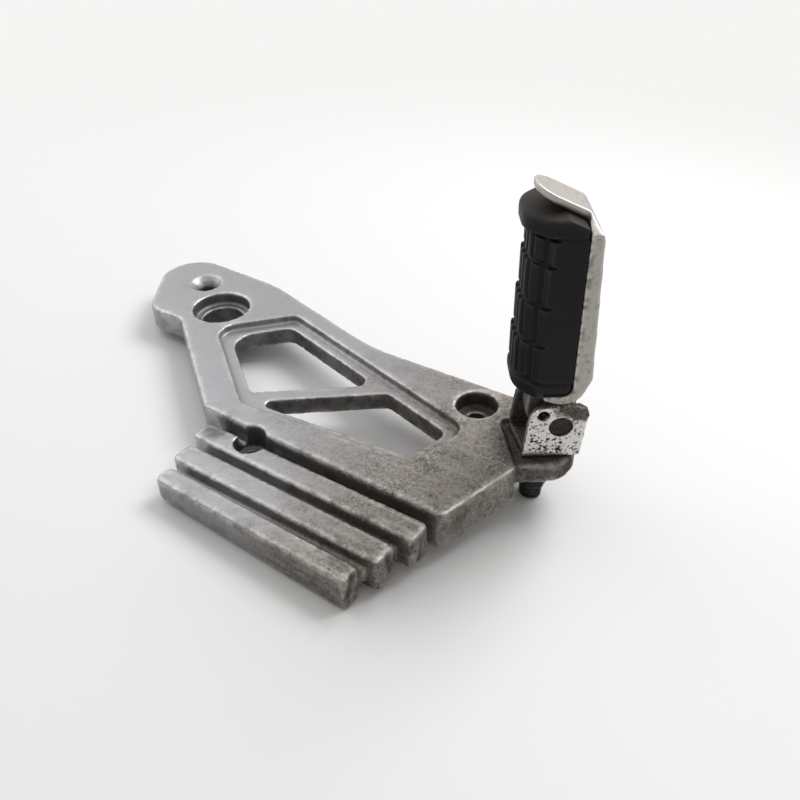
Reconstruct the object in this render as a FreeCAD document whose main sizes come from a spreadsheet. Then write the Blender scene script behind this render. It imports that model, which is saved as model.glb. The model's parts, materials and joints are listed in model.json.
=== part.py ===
import FreeCAD, Part
import Sketcher
import math
import os

# Cast footrest plate of a motorbike with a folding, rubber-covered footpeg.
# The origin is on the axis of the bolt hole beside the peg, on the plate's back (mounting) face.
# +Z points away from the bike, the peg stands along +Z and its pivot pin lies along Y.

doc = FreeCAD.newDocument("rearset_plate")
sheet = doc.addObject("Spreadsheet::Sheet", "Sizes")

SIZES = [
    ("plate_top", 20.0, "outer face of the plate above the mounting face"),
    ("plate_thickness", 13.5, "section of the window frame"),
    ("plate_edge_round", 1.6, "cast rounding of the outer edge"),
    ("heel_angle", 35.5, "slope of the heel ribs to the X axis"),
    ("heel_offset", 72.0, "plate's front edge from the bolt-hole axis"),
    ("waist_x", -157.0, "inner corner between ear and left arm"),
    ("waist_y", 86.0, "inner corner between ear and left arm"),
    ("left_edge_angle", 71.7, "slope of the left edge to the X axis"),
    ("toe_x", 13.0, "end of the right front edge at the peg seat"),
    ("toe_y", -45.0, "end of the right front edge at the peg seat"),
    ("toe_edge_angle", 40.2, "slope of the right front edge"),
    ("ear_left_x", -177.0, "left side of the ear"),
    ("ear_low_y", 98.0, "near corner of the ear"),
    ("ear_far_y", 172.0, "far corner of the ear"),
    ("shoulder_x", -107.0, "outward bend of the far edge"),
    ("shoulder_y", 120.0, "outward bend of the far edge"),
    ("hollow_x", -50.0, "inward bend of the far edge"),
    ("hollow_y", 52.0, "inward bend of the far edge"),
    ("tab_x", 34.0, "end of the plate behind the peg bracket"),
    ("tab_y", -4.6, "end of the plate behind the peg bracket"),
    ("plate_corner", 4.0, "near corners of the plate's outline"),
    ("seat_corner", 2.5, "corners of the step round the bracket seat"),
    ("tab_round", 5.0, "corner of the plate behind the peg bracket"),
    ("hollow_round", 90.0, "inward bend of the far edge"),
    ("shoulder_round", 60.0, "outward bend of the far edge"),
    ("ear_far_round", 20.0, "far corner of the ear"),
    ("ear_low_round", 16.0, "near corner of the ear"),
    ("waist_round", 10.0, "inner corner between ear and left arm"),
    ("pocket_depth", 4.0, "recess round the windows"),
    ("rim_left", 17.4, "plate left of the recess"),
    ("rim_far", 10.9, "plate beyond the recess"),
    ("rim_toe", 33.7, "plate between recess and right front edge"),
    ("rim_access", 4.4, "plate between recess and access hole"),
    ("pocket_front_offset", 50.1, "near edge of the recess from the bolt-hole axis"),
    ("pocket_front_angle", 30.0, "slope of the near edge of the recess"),
    ("pocket_top_angle", 13.0, "slope of the far left edge of the recess"),
    ("pocket_near_round", 6.0, "near corners of the recess"),
    ("pocket_far_round", 8.0, "corner of the recess beside the peg"),
    ("pocket_tip_round", 5.0, "corner of the recess beyond the access hole"),
    ("pocket_left_round", 10.0, "corner of the recess left of the access hole"),
    ("ledge", 6.3, "floor of the recess round the windows"),
    ("bar_x", -75.0, "middle of the crossbar"),
    ("bar_y", 17.9, "middle of the crossbar"),
    ("bar_angle", 3.0, "slope of the crossbar"),
    ("bar_width", 8.0, "width of the crossbar"),
    ("window_corner", 3.0, "left corners of the windows at the crossbar"),
    ("window_round", 5.0, "other corners of the windows"),
    ("window_tip_round", 7.0, "corner of the far window beyond the access hole"),
    ("window_left_round", 12.0, "corner of the far window left of the access hole"),
    ("bolt_hole", 9.0, "clearance hole for the fixing bolts"),
    ("bolt_sink", 20.0, "counterbore of the bolt hole beside the peg"),
    ("bolt_sink_depth", 8.5, "counterbore depth"),
    ("bolt_boss", 29.0, "boss round that hole"),
    ("access_x", -135.6, "access hole"),
    ("access_y", 96.4, "access hole"),
    ("access_sink", 31.5, "outer step of the access hole"),
    ("access_sink_depth", 7.0, "depth of that step"),
    ("access_hole", 22.5, "through diameter of the access hole"),
    ("access_boss", 41.0, "boss round the access hole"),
    ("ear_hole_x", -149.0, "bolt hole in the ear"),
    ("ear_hole_y", 125.0, "bolt hole in the ear"),
    ("ear_sink", 19.0, "countersink of that hole"),
    ("ear_sink_angle", 90.0, "cone of that countersink"),
    ("heel_hole_along", -74.9, "bolt hole beside the ribs, along them"),
    ("heel_hole_across", -76.5, "bolt hole beside the ribs, across them"),
    ("heel_sink", 15.0, "counterbore of that hole"),
    ("heel_sink_depth", 13.0, "depth of that counterbore"),
    ("rib_width", 12.0, "first two heel ribs"),
    ("last_rib_width", 10.0, "outermost heel rib"),
    ("rib_gap", 3.8, "groove between ribs"),
    ("rib_top_left", 16.0, "first rib's left end above the mounting face"),
    ("rib_top_right", 17.0, "first rib's right end above the mounting face"),
    ("rib_drop_left", 0.5, "each further rib lower at the left"),
    ("rib_drop_right", 2.0, "each further rib lower at the right"),
    ("rib_foot_rise", 2.0, "each further rib's foot higher at the left"),
    ("rib_foot_drop", 1.9, "each further rib's foot lower at the right"),
    ("rib_round", 1.5, "rounding of a rib's top edges"),
    ("rib_end_round", 3.6, "left ends of the ribs"),
    ("rib_corner", 2.0, "right ends of the ribs"),
    ("rib_right", 22.0, "right end of the first rib"),
    ("rib_right_step", 6.0, "each further rib shorter at the right"),
    ("rib_left", -102.0, "left end of the first rib"),
    ("rib_left_step", 3.5, "each further rib shorter at the left"),
    ("web_low", 2.0, "underside of the web between the ribs"),
    ("heel_boss", 24.0, "boss round the heel bolt hole"),
    ("web_top", 9.5, "floor of the grooves above the mounting face"),
    ("web_inset", 2.5, "groove floor set back from the rib ends"),
    ("skirt", 7.0, "wall along the right front edge"),
    ("skirt_corner", 2.0, "end of that wall at the bracket seat"),
    ("seat_height", 17.0, "bracket seat above the mounting face"),
    ("seat_left_x", 9.8, "step beside the bracket seat"),
    ("seat_gap", 0.65, "step behind the bracket"),
    ("lug_bottom", 7.0, "underside of the lug"),
    ("lug_margin", 4.8, "lug in front of and behind the bracket"),
    ("lug_nose", 0.5, "lug to the right of the bracket"),
    ("lug_round", 16.0, "round end of the lug"),
    ("bracket_mid_y", -24.4, "middle plane of the bracket"),
    ("bracket_sheet", 4.0, "steel of the bracket"),
    ("bracket_gap", 16.5, "between the ears"),
    ("bracket_left_x", 16.5, "foot of the ears"),
    ("bracket_width", 25.0, "foot of the ears"),
    ("bracket_height", 27.8, "ears above the seat"),
    ("bracket_lean", 2.6, "top of the ears towards the right"),
    ("bracket_bend", 3.0, "outer bend of the folded foot"),
    ("stud_x", 24.0, "stud under the bracket"),
    ("stud_diameter", 10.0, "stud under the bracket"),
    ("stud_end", -14.0, "free end of the stud"),
    ("stud_clearance", 0.3, "stud in the lug"),
    ("washer_diameter", 21.0, "washer under the lug"),
    ("washer_thickness", 2.5, "washer under the lug"),
    ("nut_flats", 14.0, "across the flats of the nut"),
    ("nut_thickness", 10.0, "nut on the stud"),
    ("pin_x", 32.3, "pivot axis"),
    ("pin_rise", 17.2, "pivot axis above the seat"),
    ("pin_diameter", 10.0, "pivot pin"),
    ("pin_sink", 1.0, "pin's end below the ear's face"),
    ("pin_head", 15.0, "head of the pin"),
    ("pin_head_length", 3.0, "head of the pin"),
    ("pin_fit", 0.05, "radial play of the pin"),
    ("ear_flare", 3.0, "back ear wider at the left"),
    ("ear_round", 5.0, "top right corners of the ears"),
    ("front_ear_round", 9.0, "top left corner of the front ear"),
    ("back_ear_round", 10.0, "top left corner of the back ear"),
    ("wire", 1.8, "spring wire"),
    ("coil_radius", 7.0, "middle of the spring's coil"),
    ("coil_turns", 1.0, "whole turns between the spring's legs"),
    ("coil_arcs", 8.0, "arcs that the coil is drawn in"),
    ("spring_space", 5.8, "room for the coil beside the tongue"),
    ("spring_play", 0.25, "spring beside the ear and the tongue"),
    ("spring_leg", 9.0, "straight leg beside the tongue"),
    ("spring_leg_angle", 20.0, "where that leg leaves the coil"),
    ("spring_hook", 4.0, "bent end of a leg"),
    ("spring_hole", 5.0, "hole in the ear for the spring's leg"),
    ("spring_hole_x", -7.8, "that hole from the pivot"),
    ("spring_hole_z", 6.1, "that hole from the pivot"),
    ("hook_hole", 2.6, "hole in the tongue for the other leg"),
    ("tongue_play", 0.3, "tongue beside the back ear"),
    ("tongue_left", -14.0, "tongue's left face from the pivot"),
    ("tongue_high", 13.5, "tongue's left face up to there above the pivot"),
    ("tongue_right", 9.0, "tongue's right face from the pivot"),
    ("knuckle_left", -9.5, "bevel of the tongue under the pivot, from the pivot"),
    ("knuckle_low", -8.3, "bevel of the tongue under the pivot, from the pivot"),
    ("knuckle_round", 5.0, "rounds of that bevel"),
    ("knuckle_side_round", 3.0, "round of the tongue's right side"),
    ("heel_left", 1.0, "left end of the tongue's flat heel from the pivot"),
    ("heel_round", 2.0, "left end of that heel"),
    ("heel_corner", 1.5, "right end of that heel"),
    ("heel_play", 0.2, "tongue's heel above the bracket's foot at rest"),
    ("tray_wall", 3.0, "walls of the tray"),
    ("tray_low", 29.0, "lower end of the tray's back above the pivot"),
    ("tray_high", 91.5, "straight back of the tray above the pivot"),
    ("tray_end", 97.6, "outer end of the tray above the pivot"),
    ("tray_back_low", 9.3, "back of the tray from the pivot, low"),
    ("tray_back_high", 6.8, "back of the tray from the pivot, high"),
    ("tray_end_x", 2.7, "outer end of the tray from the pivot"),
    ("tray_lip", 1.5, "front edge of the tray's walls from the pivot"),
    ("tray_floor", 2.4, "inner face of the tray's back from the pivot"),
    ("cup_left", -10.0, "left end of the cup under the rubber"),
    ("cup_right", 5.2, "cup's right side from the pivot"),
    ("cup_tip", 18.8, "underside of the cup's left end above the pivot"),
    ("cup_low_x", -2.0, "side walls' lowest point from the pivot"),
    ("cup_low", 16.2, "side walls' lowest point above the pivot"),
    ("cup_under", 17.5, "underside of the cup above the pivot"),
    ("cup_floor", 20.4, "floor of the cup above the pivot"),
    ("cup_rim_round", 0.7, "upper edge of the cup"),
    ("cup_edge_round", 0.7, "lower edge of the cup"),
    ("cup_low_round", 6.0, "lowest point of the side walls"),
    ("cup_side_rise", 2.8, "side walls' right corner above the lowest point"),
    ("cup_side_round", 8.0, "that right corner"),
    ("tray_low_round", 4.0, "lower end of the tray's back"),
    ("tray_high_round", 5.0, "upper end of the tray's straight back"),
    ("cup_round", 4.0, "inner corner of the cup"),
    ("peg_width", 36.0, "peg along the pivot"),
    ("flange_reach", 17.5, "nose of the end flange from the pivot"),
    ("flange_rise", 9.8, "nose above the flange's root"),
    ("flange_thickness", 3.2, "end flange"),
    ("shoulder_high", 92.5, "sloping shoulders of the tray's end above the pivot"),
    ("flange_width", 18.0, "end flange along the pivot"),
    ("flange_round", 8.0, "nose of the end flange"),
    ("rubber_width", 35.0, "rubber along the pivot"),
    ("rubber_low", 16.0, "lower end of the rubber above the pivot"),
    ("rubber_notch", -11.3, "rubber clear of the cup and the neck"),
    ("rubber_apex_low", 22.6, "tread from the pivot at the low end"),
    ("rubber_apex_high", 19.2, "tread from the pivot at the outer end"),
    ("rubber_lip", 22.0, "smooth outer lip from the pivot"),
    ("lip_low", 91.1, "outer lip's foot above the pivot"),
    ("lip_high", 98.0, "outer lip's top above the pivot"),
    ("rubber_crown", 9.0, "rise of the tread's curve"),
    ("crown_side_round", 6.0, "shoulders of the tread's curve"),
    ("crown_top_round", 12.0, "top of the tread's curve"),
    ("rubber_play", 0.3, "rubber beside the metal"),
    ("rubber_round", 8.0, "round lower end of the rubber"),
    ("rubber_lip_round", 2.5, "round edge of the outer lip"),
    ("notch_round", 1.0, "corner of the rubber at the cup"),
    ("plug_root", 1.0, "root of the rubber's plug inside the pad"),
    ("tread_depth", 1.8, "depth of the tread grooves"),
    ("tread_groove", 1.8, "width of the tread grooves"),
    ("tread_pitch", 4.6, "from rib to rib of the tread"),
    ("tread_first", 27.9, "lowest row of blocks above the pivot"),
    ("tread_row", 17.4, "from row to row of blocks"),
    ("tread_rows", 4.0, "rows of blocks"),
    ("insert_width", 18.0, "steel strip in the rubber"),
    ("insert_low", 34.0, "lower end of the strip above the pivot"),
    ("insert_length", 54.0, "steel strip in the rubber"),
    ("insert_thickness", 3.0, "steel strip in the rubber"),
    ("insert_play", 0.1, "strip in the rubber"),
    ("screw_low", 44.0, "lower screw above the pivot"),
    ("screw_high", 78.0, "upper screw above the pivot"),
    ("screw_diameter", 6.0, "screws of the rubber"),
    ("screw_head", 10.0, "head across the flats"),
    ("screw_head_length", 2.3, "head of the screw"),
    ("screw_washer", 12.5, "washer of the screw"),
    ("screw_washer_thickness", 1.0, "washer of the screw"),
    ("screw_seat", 4.0, "flat seat of the washers from the pivot"),
    ("screw_seat_width", 14.0, "flat seat of the washers"),
    ("screw_play", 0.3, "screw in the tray"),
    ("thread_play", 0.05, "radial play of a screw in its nut"),
    ("cut_reach", 30.0, "reach of a cut past a surface"),
]

TOUCH = 1e-3

for row, (alias, value, note) in enumerate(SIZES, start=1):
    sheet.set(f"A{row}", note)
    sheet.set(f"B{row}", str(value))
    sheet.setAlias(f"B{row}", alias)
doc.recompute()


def size(alias):
    return float(sheet.get(alias))


def cells(formula):
    # Turns the plain names of a formula into references to the sheet's cells.
    words = formula.replace("(", " ( ").replace(")", " ) ").split()
    return " ".join("Sizes." + w if w[0].isalpha() else w for w in words)


# Straight edges as a point and a direction; the inside lies to the left of the direction.
def edge(x, y, degrees):
    turn = math.radians(degrees)
    return FreeCAD.Vector(x, y, 0), FreeCAD.Vector(math.cos(turn), math.sin(turn), 0)


def shifted(line, distance):
    point, along = line
    return point + FreeCAD.Vector(-along.y, along.x, 0) * distance, along


def meet(first, second):
    (p, d), (q, e) = first, second
    reach = ((q.x - p.x) * e.y - (q.y - p.y) * e.x) / (d.x * e.y - d.y * e.x)
    return p + d * reach


def corner(point, radius):
    return point.x, point.y, radius


# Sketches of straight edges joined by tangent arcs, and of circles.
def new_sketch(body, name, role, height):
    sketch = body.newObject("Sketcher::SketchObject", name)
    plane = [f for f in body.Origin.OriginFeatures if f.Role == role][0]
    sketch.AttachmentSupport = [(plane, "")]
    sketch.MapMode = "FlatFace"
    sketch.setExpression("AttachmentOffset.Base.z", cells(height))
    return sketch


def draw_outline(sketch, corners):
    ends = []
    for i, (x, y, radius) in enumerate(corners):
        tip = FreeCAD.Vector(x, y, 0)
        before = FreeCAD.Vector(corners[i - 1][0], corners[i - 1][1], 0)
        after = FreeCAD.Vector(*corners[(i + 1) % len(corners)][:2], 0)
        to_before = (before - tip).normalize()
        to_after = (after - tip).normalize()
        if radius == 0:
            ends.append((tip, tip))
            continue
        half = to_before.getAngle(to_after) / 2
        trim = radius / math.tan(half)
        middle = (to_before + to_after).normalize()
        crest = tip + middle * (radius / math.sin(half) - radius)
        start, finish = tip + to_before * trim, tip + to_after * trim
        sketch.addGeometry(Part.Arc(start, crest, finish))
        ends.append((start, finish))
    for i, (_, finish) in enumerate(ends):
        start = ends[(i + 1) % len(ends)][0]
        if start.distanceToPoint(finish) > TOUCH:
            sketch.addGeometry(Part.LineSegment(finish, start))


def draw_circle(sketch, x, y, diameter):
    start = FreeCAD.Vector(x, y, 0)
    index = sketch.addGeometry(Part.Circle(start, FreeCAD.Vector(0, 0, 1), 1))
    rule = sketch.addConstraint(Sketcher.Constraint("Diameter", index, 2))
    sketch.setExpression(f"Constraints[{rule}]", cells(diameter))


def grow(body, kind, name, sketch, length, symmetric=False, flip=False):
    feature = body.newObject("PartDesign::" + kind, name)
    feature.Profile = sketch
    feature.setExpression("Length", cells(length))
    if symmetric:
        feature.SideType = "Symmetric"
    feature.Reversed = flip
    doc.recompute()
    return feature


def outline_pad(body, name, corners, low, length):
    sketch = new_sketch(body, name + "_outline", "XY_Plane", low)
    draw_outline(sketch, corners)
    return grow(body, "Pad", name, sketch, length)


def outline_cut(body, name, corners, high, length, flip=False):
    sketch = new_sketch(body, name + "_outline", "XY_Plane", high)
    draw_outline(sketch, corners)
    return grow(body, "Pocket", name, sketch, length, flip=flip)


def side_profile(body, kind, name, corners, mid, length):
    # Profile seen along +Y, spread evenly to both sides of a middle plane.
    sketch = new_sketch(body, name + "_profile", "XZ_Plane", f"-1 * ( {mid} )")
    draw_outline(sketch, corners)
    return grow(body, kind, name, sketch, length, symmetric=True)


def round_feature(body, kind, name, role, centres, diameter, level, length, flip=False):
    sketch = new_sketch(body, name + "_circle", role, level)
    for x, y in centres:
        draw_circle(sketch, x, y, diameter)
    return grow(body, kind, name, sketch, length, flip=flip)


def hole(body, name, x, y, diameter, sink, sink_depth="", sink_angle=""):
    # Hole from the outer face, with a flat step of a depth or a cone of an angle.
    sketch = new_sketch(body, name + "_centre", "XY_Plane", "plate_top")
    draw_circle(sketch, x, y, diameter)
    doc.recompute()
    feature = body.newObject("PartDesign::Hole", name)
    feature.Profile = sketch
    feature.DepthType = "ThroughAll"
    feature.DrillPoint = "Flat"
    feature.setExpression("Diameter", cells(diameter))
    feature.HoleCutType = "Counterbore" if sink_depth else "Countersink"
    feature.HoleCutCustomValues = True
    feature.setExpression("HoleCutDiameter", cells(sink))
    if sink_depth:
        feature.setExpression("HoleCutDepth", cells(sink_depth))
    else:
        feature.setExpression("HoleCutCountersinkAngle", cells(sink_angle))
    doc.recompute()
    return feature


def face_through(feature, point):
    spot = Part.Vertex(*point)
    near = [i for i, f in enumerate(feature.Shape.Faces, start=1) if f.distToShape(spot)[0] < TOUCH]
    return f"Face{near[0]}"


def round_face(body, name, point, radius):
    base = body.Tip
    feature = body.newObject("PartDesign::Fillet", name)
    feature.Base = (base, [face_through(base, point)])
    feature.setExpression("Radius", cells(radius))
    doc.recompute()
    return feature


def new_body(name):
    body = doc.addObject("PartDesign::Body", name)
    body.Label = name
    return body


def heel_point(along, across):
    turn = math.radians(-size("heel_angle"))
    return (along * math.cos(turn) - across * math.sin(turn),
            along * math.sin(turn) + across * math.cos(turn))


def heel_corners(points):
    return [(*heel_point(along, across), radius) for along, across, radius in points]


def heel_sketch(body, name, across):
    # Upright sketch along the heel ribs, x along them and y up, at a distance across them.
    sketch = new_sketch(body, name, "XZ_Plane", "0")
    x, y = heel_point(0, across)
    turn = FreeCAD.Rotation(FreeCAD.Vector(0, 1, 0), -size("heel_angle"))
    sketch.setExpression("AttachmentOffset.Base.z", None)
    sketch.AttachmentOffset = FreeCAD.Placement(FreeCAD.Vector(x, 0, -y), turn)
    return sketch


def upright_at(points):
    def test(box):
        spots = [math.hypot(box.XMin - x, box.YMin - y) for x, y in points]
        return max(box.XLength, box.YLength) < TOUCH and min(spots) < TOUCH
    return test


def edges_where(feature, test):
    return [f"Edge{i}" for i, e in enumerate(feature.Shape.Edges, start=1) if test(e.BoundBox)]


def round_edges(body, name, test, radius):
    base = body.Tip
    feature = body.newObject("PartDesign::Fillet", name)
    feature.Base = (base, edges_where(base, test))
    feature.setExpression("Radius", cells(radius))
    doc.recompute()
    return feature


# Cast plate: frame, ear, bosses, lug and heel ribs in one casting.
plate = new_body("cast_plate")
plate.AllowCompound = True
front_line = edge(*heel_point(0, -size("heel_offset")), -size("heel_angle"))
toe_line = edge(size("toe_x"), size("toe_y"), size("toe_edge_angle"))
far_rise = math.atan2(size("shoulder_y") - size("hollow_y"), size("shoulder_x") - size("hollow_x"))
far_line = edge(size("hollow_x"), size("hollow_y"), math.degrees(far_rise))
left_line = edge(size("waist_x"), size("waist_y"), -size("left_edge_angle"))
half_bracket = size("bracket_gap") / 2 + size("bracket_sheet")
seat_back = size("bracket_mid_y") + half_bracket + size("seat_gap")

plate_outline = [
    corner(meet(left_line, front_line), size("plate_corner")),
    corner(meet(front_line, toe_line), size("plate_corner")),
    (size("toe_x"), size("toe_y"), size("seat_corner")),
    (size("seat_left_x"), seat_back, size("seat_corner")),
    (size("tab_x"), seat_back, size("seat_corner")),
    (size("tab_x"), size("tab_y"), size("tab_round")),
    (size("hollow_x"), size("hollow_y"), size("hollow_round")),
    (size("shoulder_x"), size("shoulder_y"), size("shoulder_round")),
    (size("ear_left_x"), size("ear_far_y"), size("ear_far_round")),
    (size("ear_left_x"), size("ear_low_y"), size("ear_low_round")),
    (size("waist_x"), size("waist_y"), size("waist_round")),
]
outline_pad(plate, "frame", plate_outline, "plate_top - plate_thickness", "plate_thickness")
round_face(plate, "frame_round", (0, 0, size("plate_top")), "plate_edge_round")

foot_right = size("bracket_left_x") + size("bracket_width")
lug_right = foot_right + size("lug_nose")
lug_reach = half_bracket + size("lug_margin")
lug_outline = [
    (0, size("bracket_mid_y") - lug_reach, 0),
    (lug_right, size("bracket_mid_y") - lug_reach, size("lug_round")),
    (lug_right, size("bracket_mid_y") + lug_reach, size("lug_round")),
    (0, size("bracket_mid_y") + lug_reach, 0),
]
outline_pad(plate, "lug", lug_outline, "lug_bottom", "seat_height - lug_bottom")

skirt_line = shifted(toe_line, size("skirt"))
seat_line = edge(size("toe_x"), size("toe_y"), 90)
skirt_outline = [
    corner(meet(front_line, toe_line), size("plate_corner")),
    corner(meet(seat_line, toe_line), size("skirt_corner")),
    corner(meet(seat_line, skirt_line), 0),
    corner(meet(front_line, skirt_line), 0),
]
outline_pad(plate, "skirt", skirt_outline, "0", "plate_top - plate_thickness")

plate_foot = "plate_top - plate_thickness"
round_feature(plate, "Pad", "bolt_boss", "XY_Plane", [(0, 0)], "bolt_boss", "0", plate_foot)
access = (size("access_x"), size("access_y"))
round_feature(plate, "Pad", "access_boss", "XY_Plane", [access], "access_boss", "0", plate_foot)

# Heel ribs: three stepped bars across a lower web, each shorter than the one before.
rib_widths = ["rib_width", "rib_width", "last_rib_width"]
rib_rows = []
near = -size("heel_offset") - size("rib_gap")
for i, width in enumerate(rib_widths):
    right = size("rib_right") - i * size("rib_right_step")
    left = size("rib_left") + i * size("rib_left_step")
    rib_rows.append((left, right, near, near - size(width)))
    near = near - size(width) - size("rib_gap")
inset = size("web_inset")
first_left, first_right, _, _ = rib_rows[0]
last_left, last_right, _, last_near = rib_rows[-1]
under_plate = -size("heel_offset") + size("skirt")
web_near = last_near + inset
web_outline = heel_corners([
    (first_left + inset, under_plate, 0),
    (last_left + inset, web_near, 0),
    (last_right - inset, web_near, 0),
    (first_right - inset, under_plate, 0),
])
for i, (left, right, far, near) in enumerate(rib_rows):
    name = f"rib_{i + 1}"
    top_left = size("rib_top_left") - i * size("rib_drop_left")
    top_right = size("rib_top_right") - i * size("rib_drop_right")
    rib_sketch = heel_sketch(plate, name + "_profile", far)
    draw_outline(rib_sketch, [
        (left, i * size("rib_foot_rise"), 0),
        (right, -i * size("rib_foot_drop"), 0),
        (right, top_right, 0),
        (left, top_left, 0),
    ])
    grow(plate, "Pad", name, rib_sketch, rib_widths[i])
    left_ends = [heel_point(left, far), heel_point(left, near)]
    right_ends = [heel_point(right, far), heel_point(right, near)]
    round_edges(plate, name + "_left", upright_at(left_ends), "rib_end_round")
    round_edges(plate, name + "_right", upright_at(right_ends), "rib_corner")
    middle = heel_point((left + right) / 2, (far + near) / 2)
    round_face(plate, name + "_round", (*middle, (top_left + top_right) / 2), "rib_round")
outline_pad(plate, "web", web_outline, "web_low", "web_top - web_low")
heel_hole = heel_point(size("heel_hole_along"), size("heel_hole_across"))
round_feature(plate, "Pad", "heel_boss", "XY_Plane", [heel_hole], "heel_boss", "0", "web_top")

# Recess with the two windows on both sides of the crossbar.
pocket_front = shifted(edge(0, 0, -size("pocket_front_angle")), -size("pocket_front_offset"))
pocket_top = shifted(edge(*access, 180 + size("pocket_top_angle")),
                     size("access_sink") / 2 + size("rim_access"))
pocket_lines = {
    "left": shifted(left_line, size("rim_left")),
    "front": pocket_front,
    "toe": shifted(toe_line, size("rim_toe")),
    "far": shifted(far_line, size("rim_far")),
    "top": pocket_top,
}
pocket_outline = [
    corner(meet(pocket_lines["left"], pocket_lines["front"]), size("pocket_near_round")),
    corner(meet(pocket_lines["front"], pocket_lines["toe"]), size("pocket_near_round")),
    corner(meet(pocket_lines["toe"], pocket_lines["far"]), size("pocket_far_round")),
    corner(meet(pocket_lines["far"], pocket_lines["top"]), size("pocket_tip_round")),
    corner(meet(pocket_lines["top"], pocket_lines["left"]), size("pocket_left_round")),
]
outline_cut(plate, "recess", pocket_outline, "plate_top", "pocket_depth")
inner = {name: shifted(line, size("ledge")) for name, line in pocket_lines.items()}
bar = edge(size("bar_x"), size("bar_y"), size("bar_angle"))
bar_far = shifted(bar, size("bar_width") / 2)
bar_back = shifted(bar, -size("bar_width") / 2)
bar_near = (bar_back[0], bar_back[1] * -1)
far_window = [
    corner(meet(inner["left"], bar_far), size("window_corner")),
    corner(meet(bar_far, inner["far"]), size("window_round")),
    corner(meet(inner["far"], inner["top"]), size("window_tip_round")),
    corner(meet(inner["top"], inner["left"]), size("window_left_round")),
]
near_window = [
    corner(meet(bar_near, inner["front"]), size("window_corner")),
    corner(meet(inner["front"], inner["toe"]), size("window_round")),
    corner(meet(inner["toe"], inner["far"]), size("window_round")),
    corner(meet(inner["far"], bar_near), size("window_round")),
]
outline_cut(plate, "far_window", far_window, "plate_top", "plate_top")
outline_cut(plate, "near_window", near_window, "plate_top", "plate_top")

hole(plate, "bolt_hole", 0, 0, "bolt_hole", "bolt_sink", sink_depth="bolt_sink_depth")
hole(plate, "access_hole", *access, "access_hole", "access_sink", sink_depth="access_sink_depth")
hole(plate, "heel_hole", *heel_hole, "bolt_hole", "heel_sink", sink_depth="heel_sink_depth")
ear_hole = (size("ear_hole_x"), size("ear_hole_y"))
hole(plate, "ear_hole", *ear_hole, "bolt_hole", "ear_sink", sink_angle="ear_sink_angle")
stud = (size("stud_x"), size("bracket_mid_y"))
stud_bore = "stud_diameter + 2 * stud_clearance"
round_feature(plate, "Pocket", "stud_hole", "XY_Plane", [stud], stud_bore, "plate_top", "cut_reach")

# Folded steel bracket: foot, two ears and the stud under it.
bracket = new_body("peg_bracket")
mid = size("bracket_mid_y")
seat = size("seat_height")
flare = size("ear_flare")
left_foot = size("bracket_left_x")
foot_outline = [
    (left_foot, mid - half_bracket, 0),
    (foot_right, mid - half_bracket, 0),
    (foot_right, mid + half_bracket, 0),
    (left_foot - flare, mid + half_bracket, 0),
    (left_foot - flare, mid + size("bracket_gap") / 2, 0),
    (left_foot, mid - size("bracket_gap") / 2, 0),
]
outline_pad(bracket, "foot", foot_outline, "seat_height", "bracket_sheet")
ear_offset = "bracket_gap / 2 + bracket_sheet / 2"
lean = size("bracket_lean")
ear_top = seat + size("bracket_height")
ears = [("front_ear", "-", 0), ("back_ear", "+", flare)]
for name, side, wider in ears:
    ear_outline = [
        (left_foot - wider, seat, 0),
        (foot_right, seat, 0),
        (foot_right + lean, ear_top, size("ear_round")),
        (left_foot - wider + lean, ear_top, size(name + "_round")),
        (left_foot - wider, seat + size("bracket_sheet"), 0),
    ]
    ear_mid = f"bracket_mid_y {side} ( {ear_offset} )"
    side_profile(bracket, "Pad", name, ear_outline, ear_mid, "bracket_sheet")


def foot_edge(box):
    outer = abs(abs(box.YMin - mid) - half_bracket) < TOUCH and box.YLength < TOUCH
    return outer and box.ZMax < seat + TOUCH


round_edges(bracket, "foot_bend", foot_edge, "bracket_bend")
pin = (size("pin_x"), seat + size("pin_rise"))
pin_bore = "pin_diameter + 2 * pin_fit"
back_face = "-1 * ( bracket_mid_y + bracket_gap / 2 + bracket_sheet )"
front_face = "-1 * ( bracket_mid_y - bracket_gap / 2 - bracket_sheet )"
round_feature(bracket, "Pocket", "pin_holes", "XZ_Plane", [pin], pin_bore, front_face, "cut_reach")
leg_hole = (pin[0] + size("spring_hole_x"), pin[1] + size("spring_hole_z"))
round_feature(bracket, "Pocket", "leg_hole", "XZ_Plane", [leg_hole], "spring_hole", front_face,
              "bracket_sheet")
round_feature(bracket, "Pad", "stud", "XY_Plane", [stud], "stud_diameter", "stud_end",
              "seat_height + bracket_sheet / 2 - stud_end")

washer = new_body("bracket_washer")
washer_low = "lug_bottom - washer_thickness"
round_feature(washer, "Pad", "disc", "XY_Plane", [stud], "washer_diameter", washer_low, "washer_thickness")
round_feature(washer, "Pocket", "bore", "XY_Plane", [stud], stud_bore, "lug_bottom", "washer_thickness")


def hexagon(x, y, flats):
    reach = flats / math.sqrt(3)
    turns = [math.radians(60 * i) for i in range(6)]
    return [(x + reach * math.cos(t), y + reach * math.sin(t), 0) for t in turns]


nut = new_body("bracket_nut")
nut_low = "lug_bottom - washer_thickness - nut_thickness"
outline_pad(nut, "hex", hexagon(*stud, size("nut_flats")), nut_low, "nut_thickness")
nut_bore = "stud_diameter + 2 * thread_play"
round_feature(nut, "Pocket", "thread", "XY_Plane", [stud], nut_bore, washer_low, "nut_thickness")

pivot = new_body("pivot_pin")
round_feature(pivot, "Pad", "shank", "XZ_Plane", [pin], "pin_diameter", back_face,
              "bracket_gap + 2 * bracket_sheet - pin_sink")
round_feature(pivot, "Pad", "head", "XZ_Plane", [pin], "pin_head", back_face, "pin_head_length", flip=True)

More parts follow.
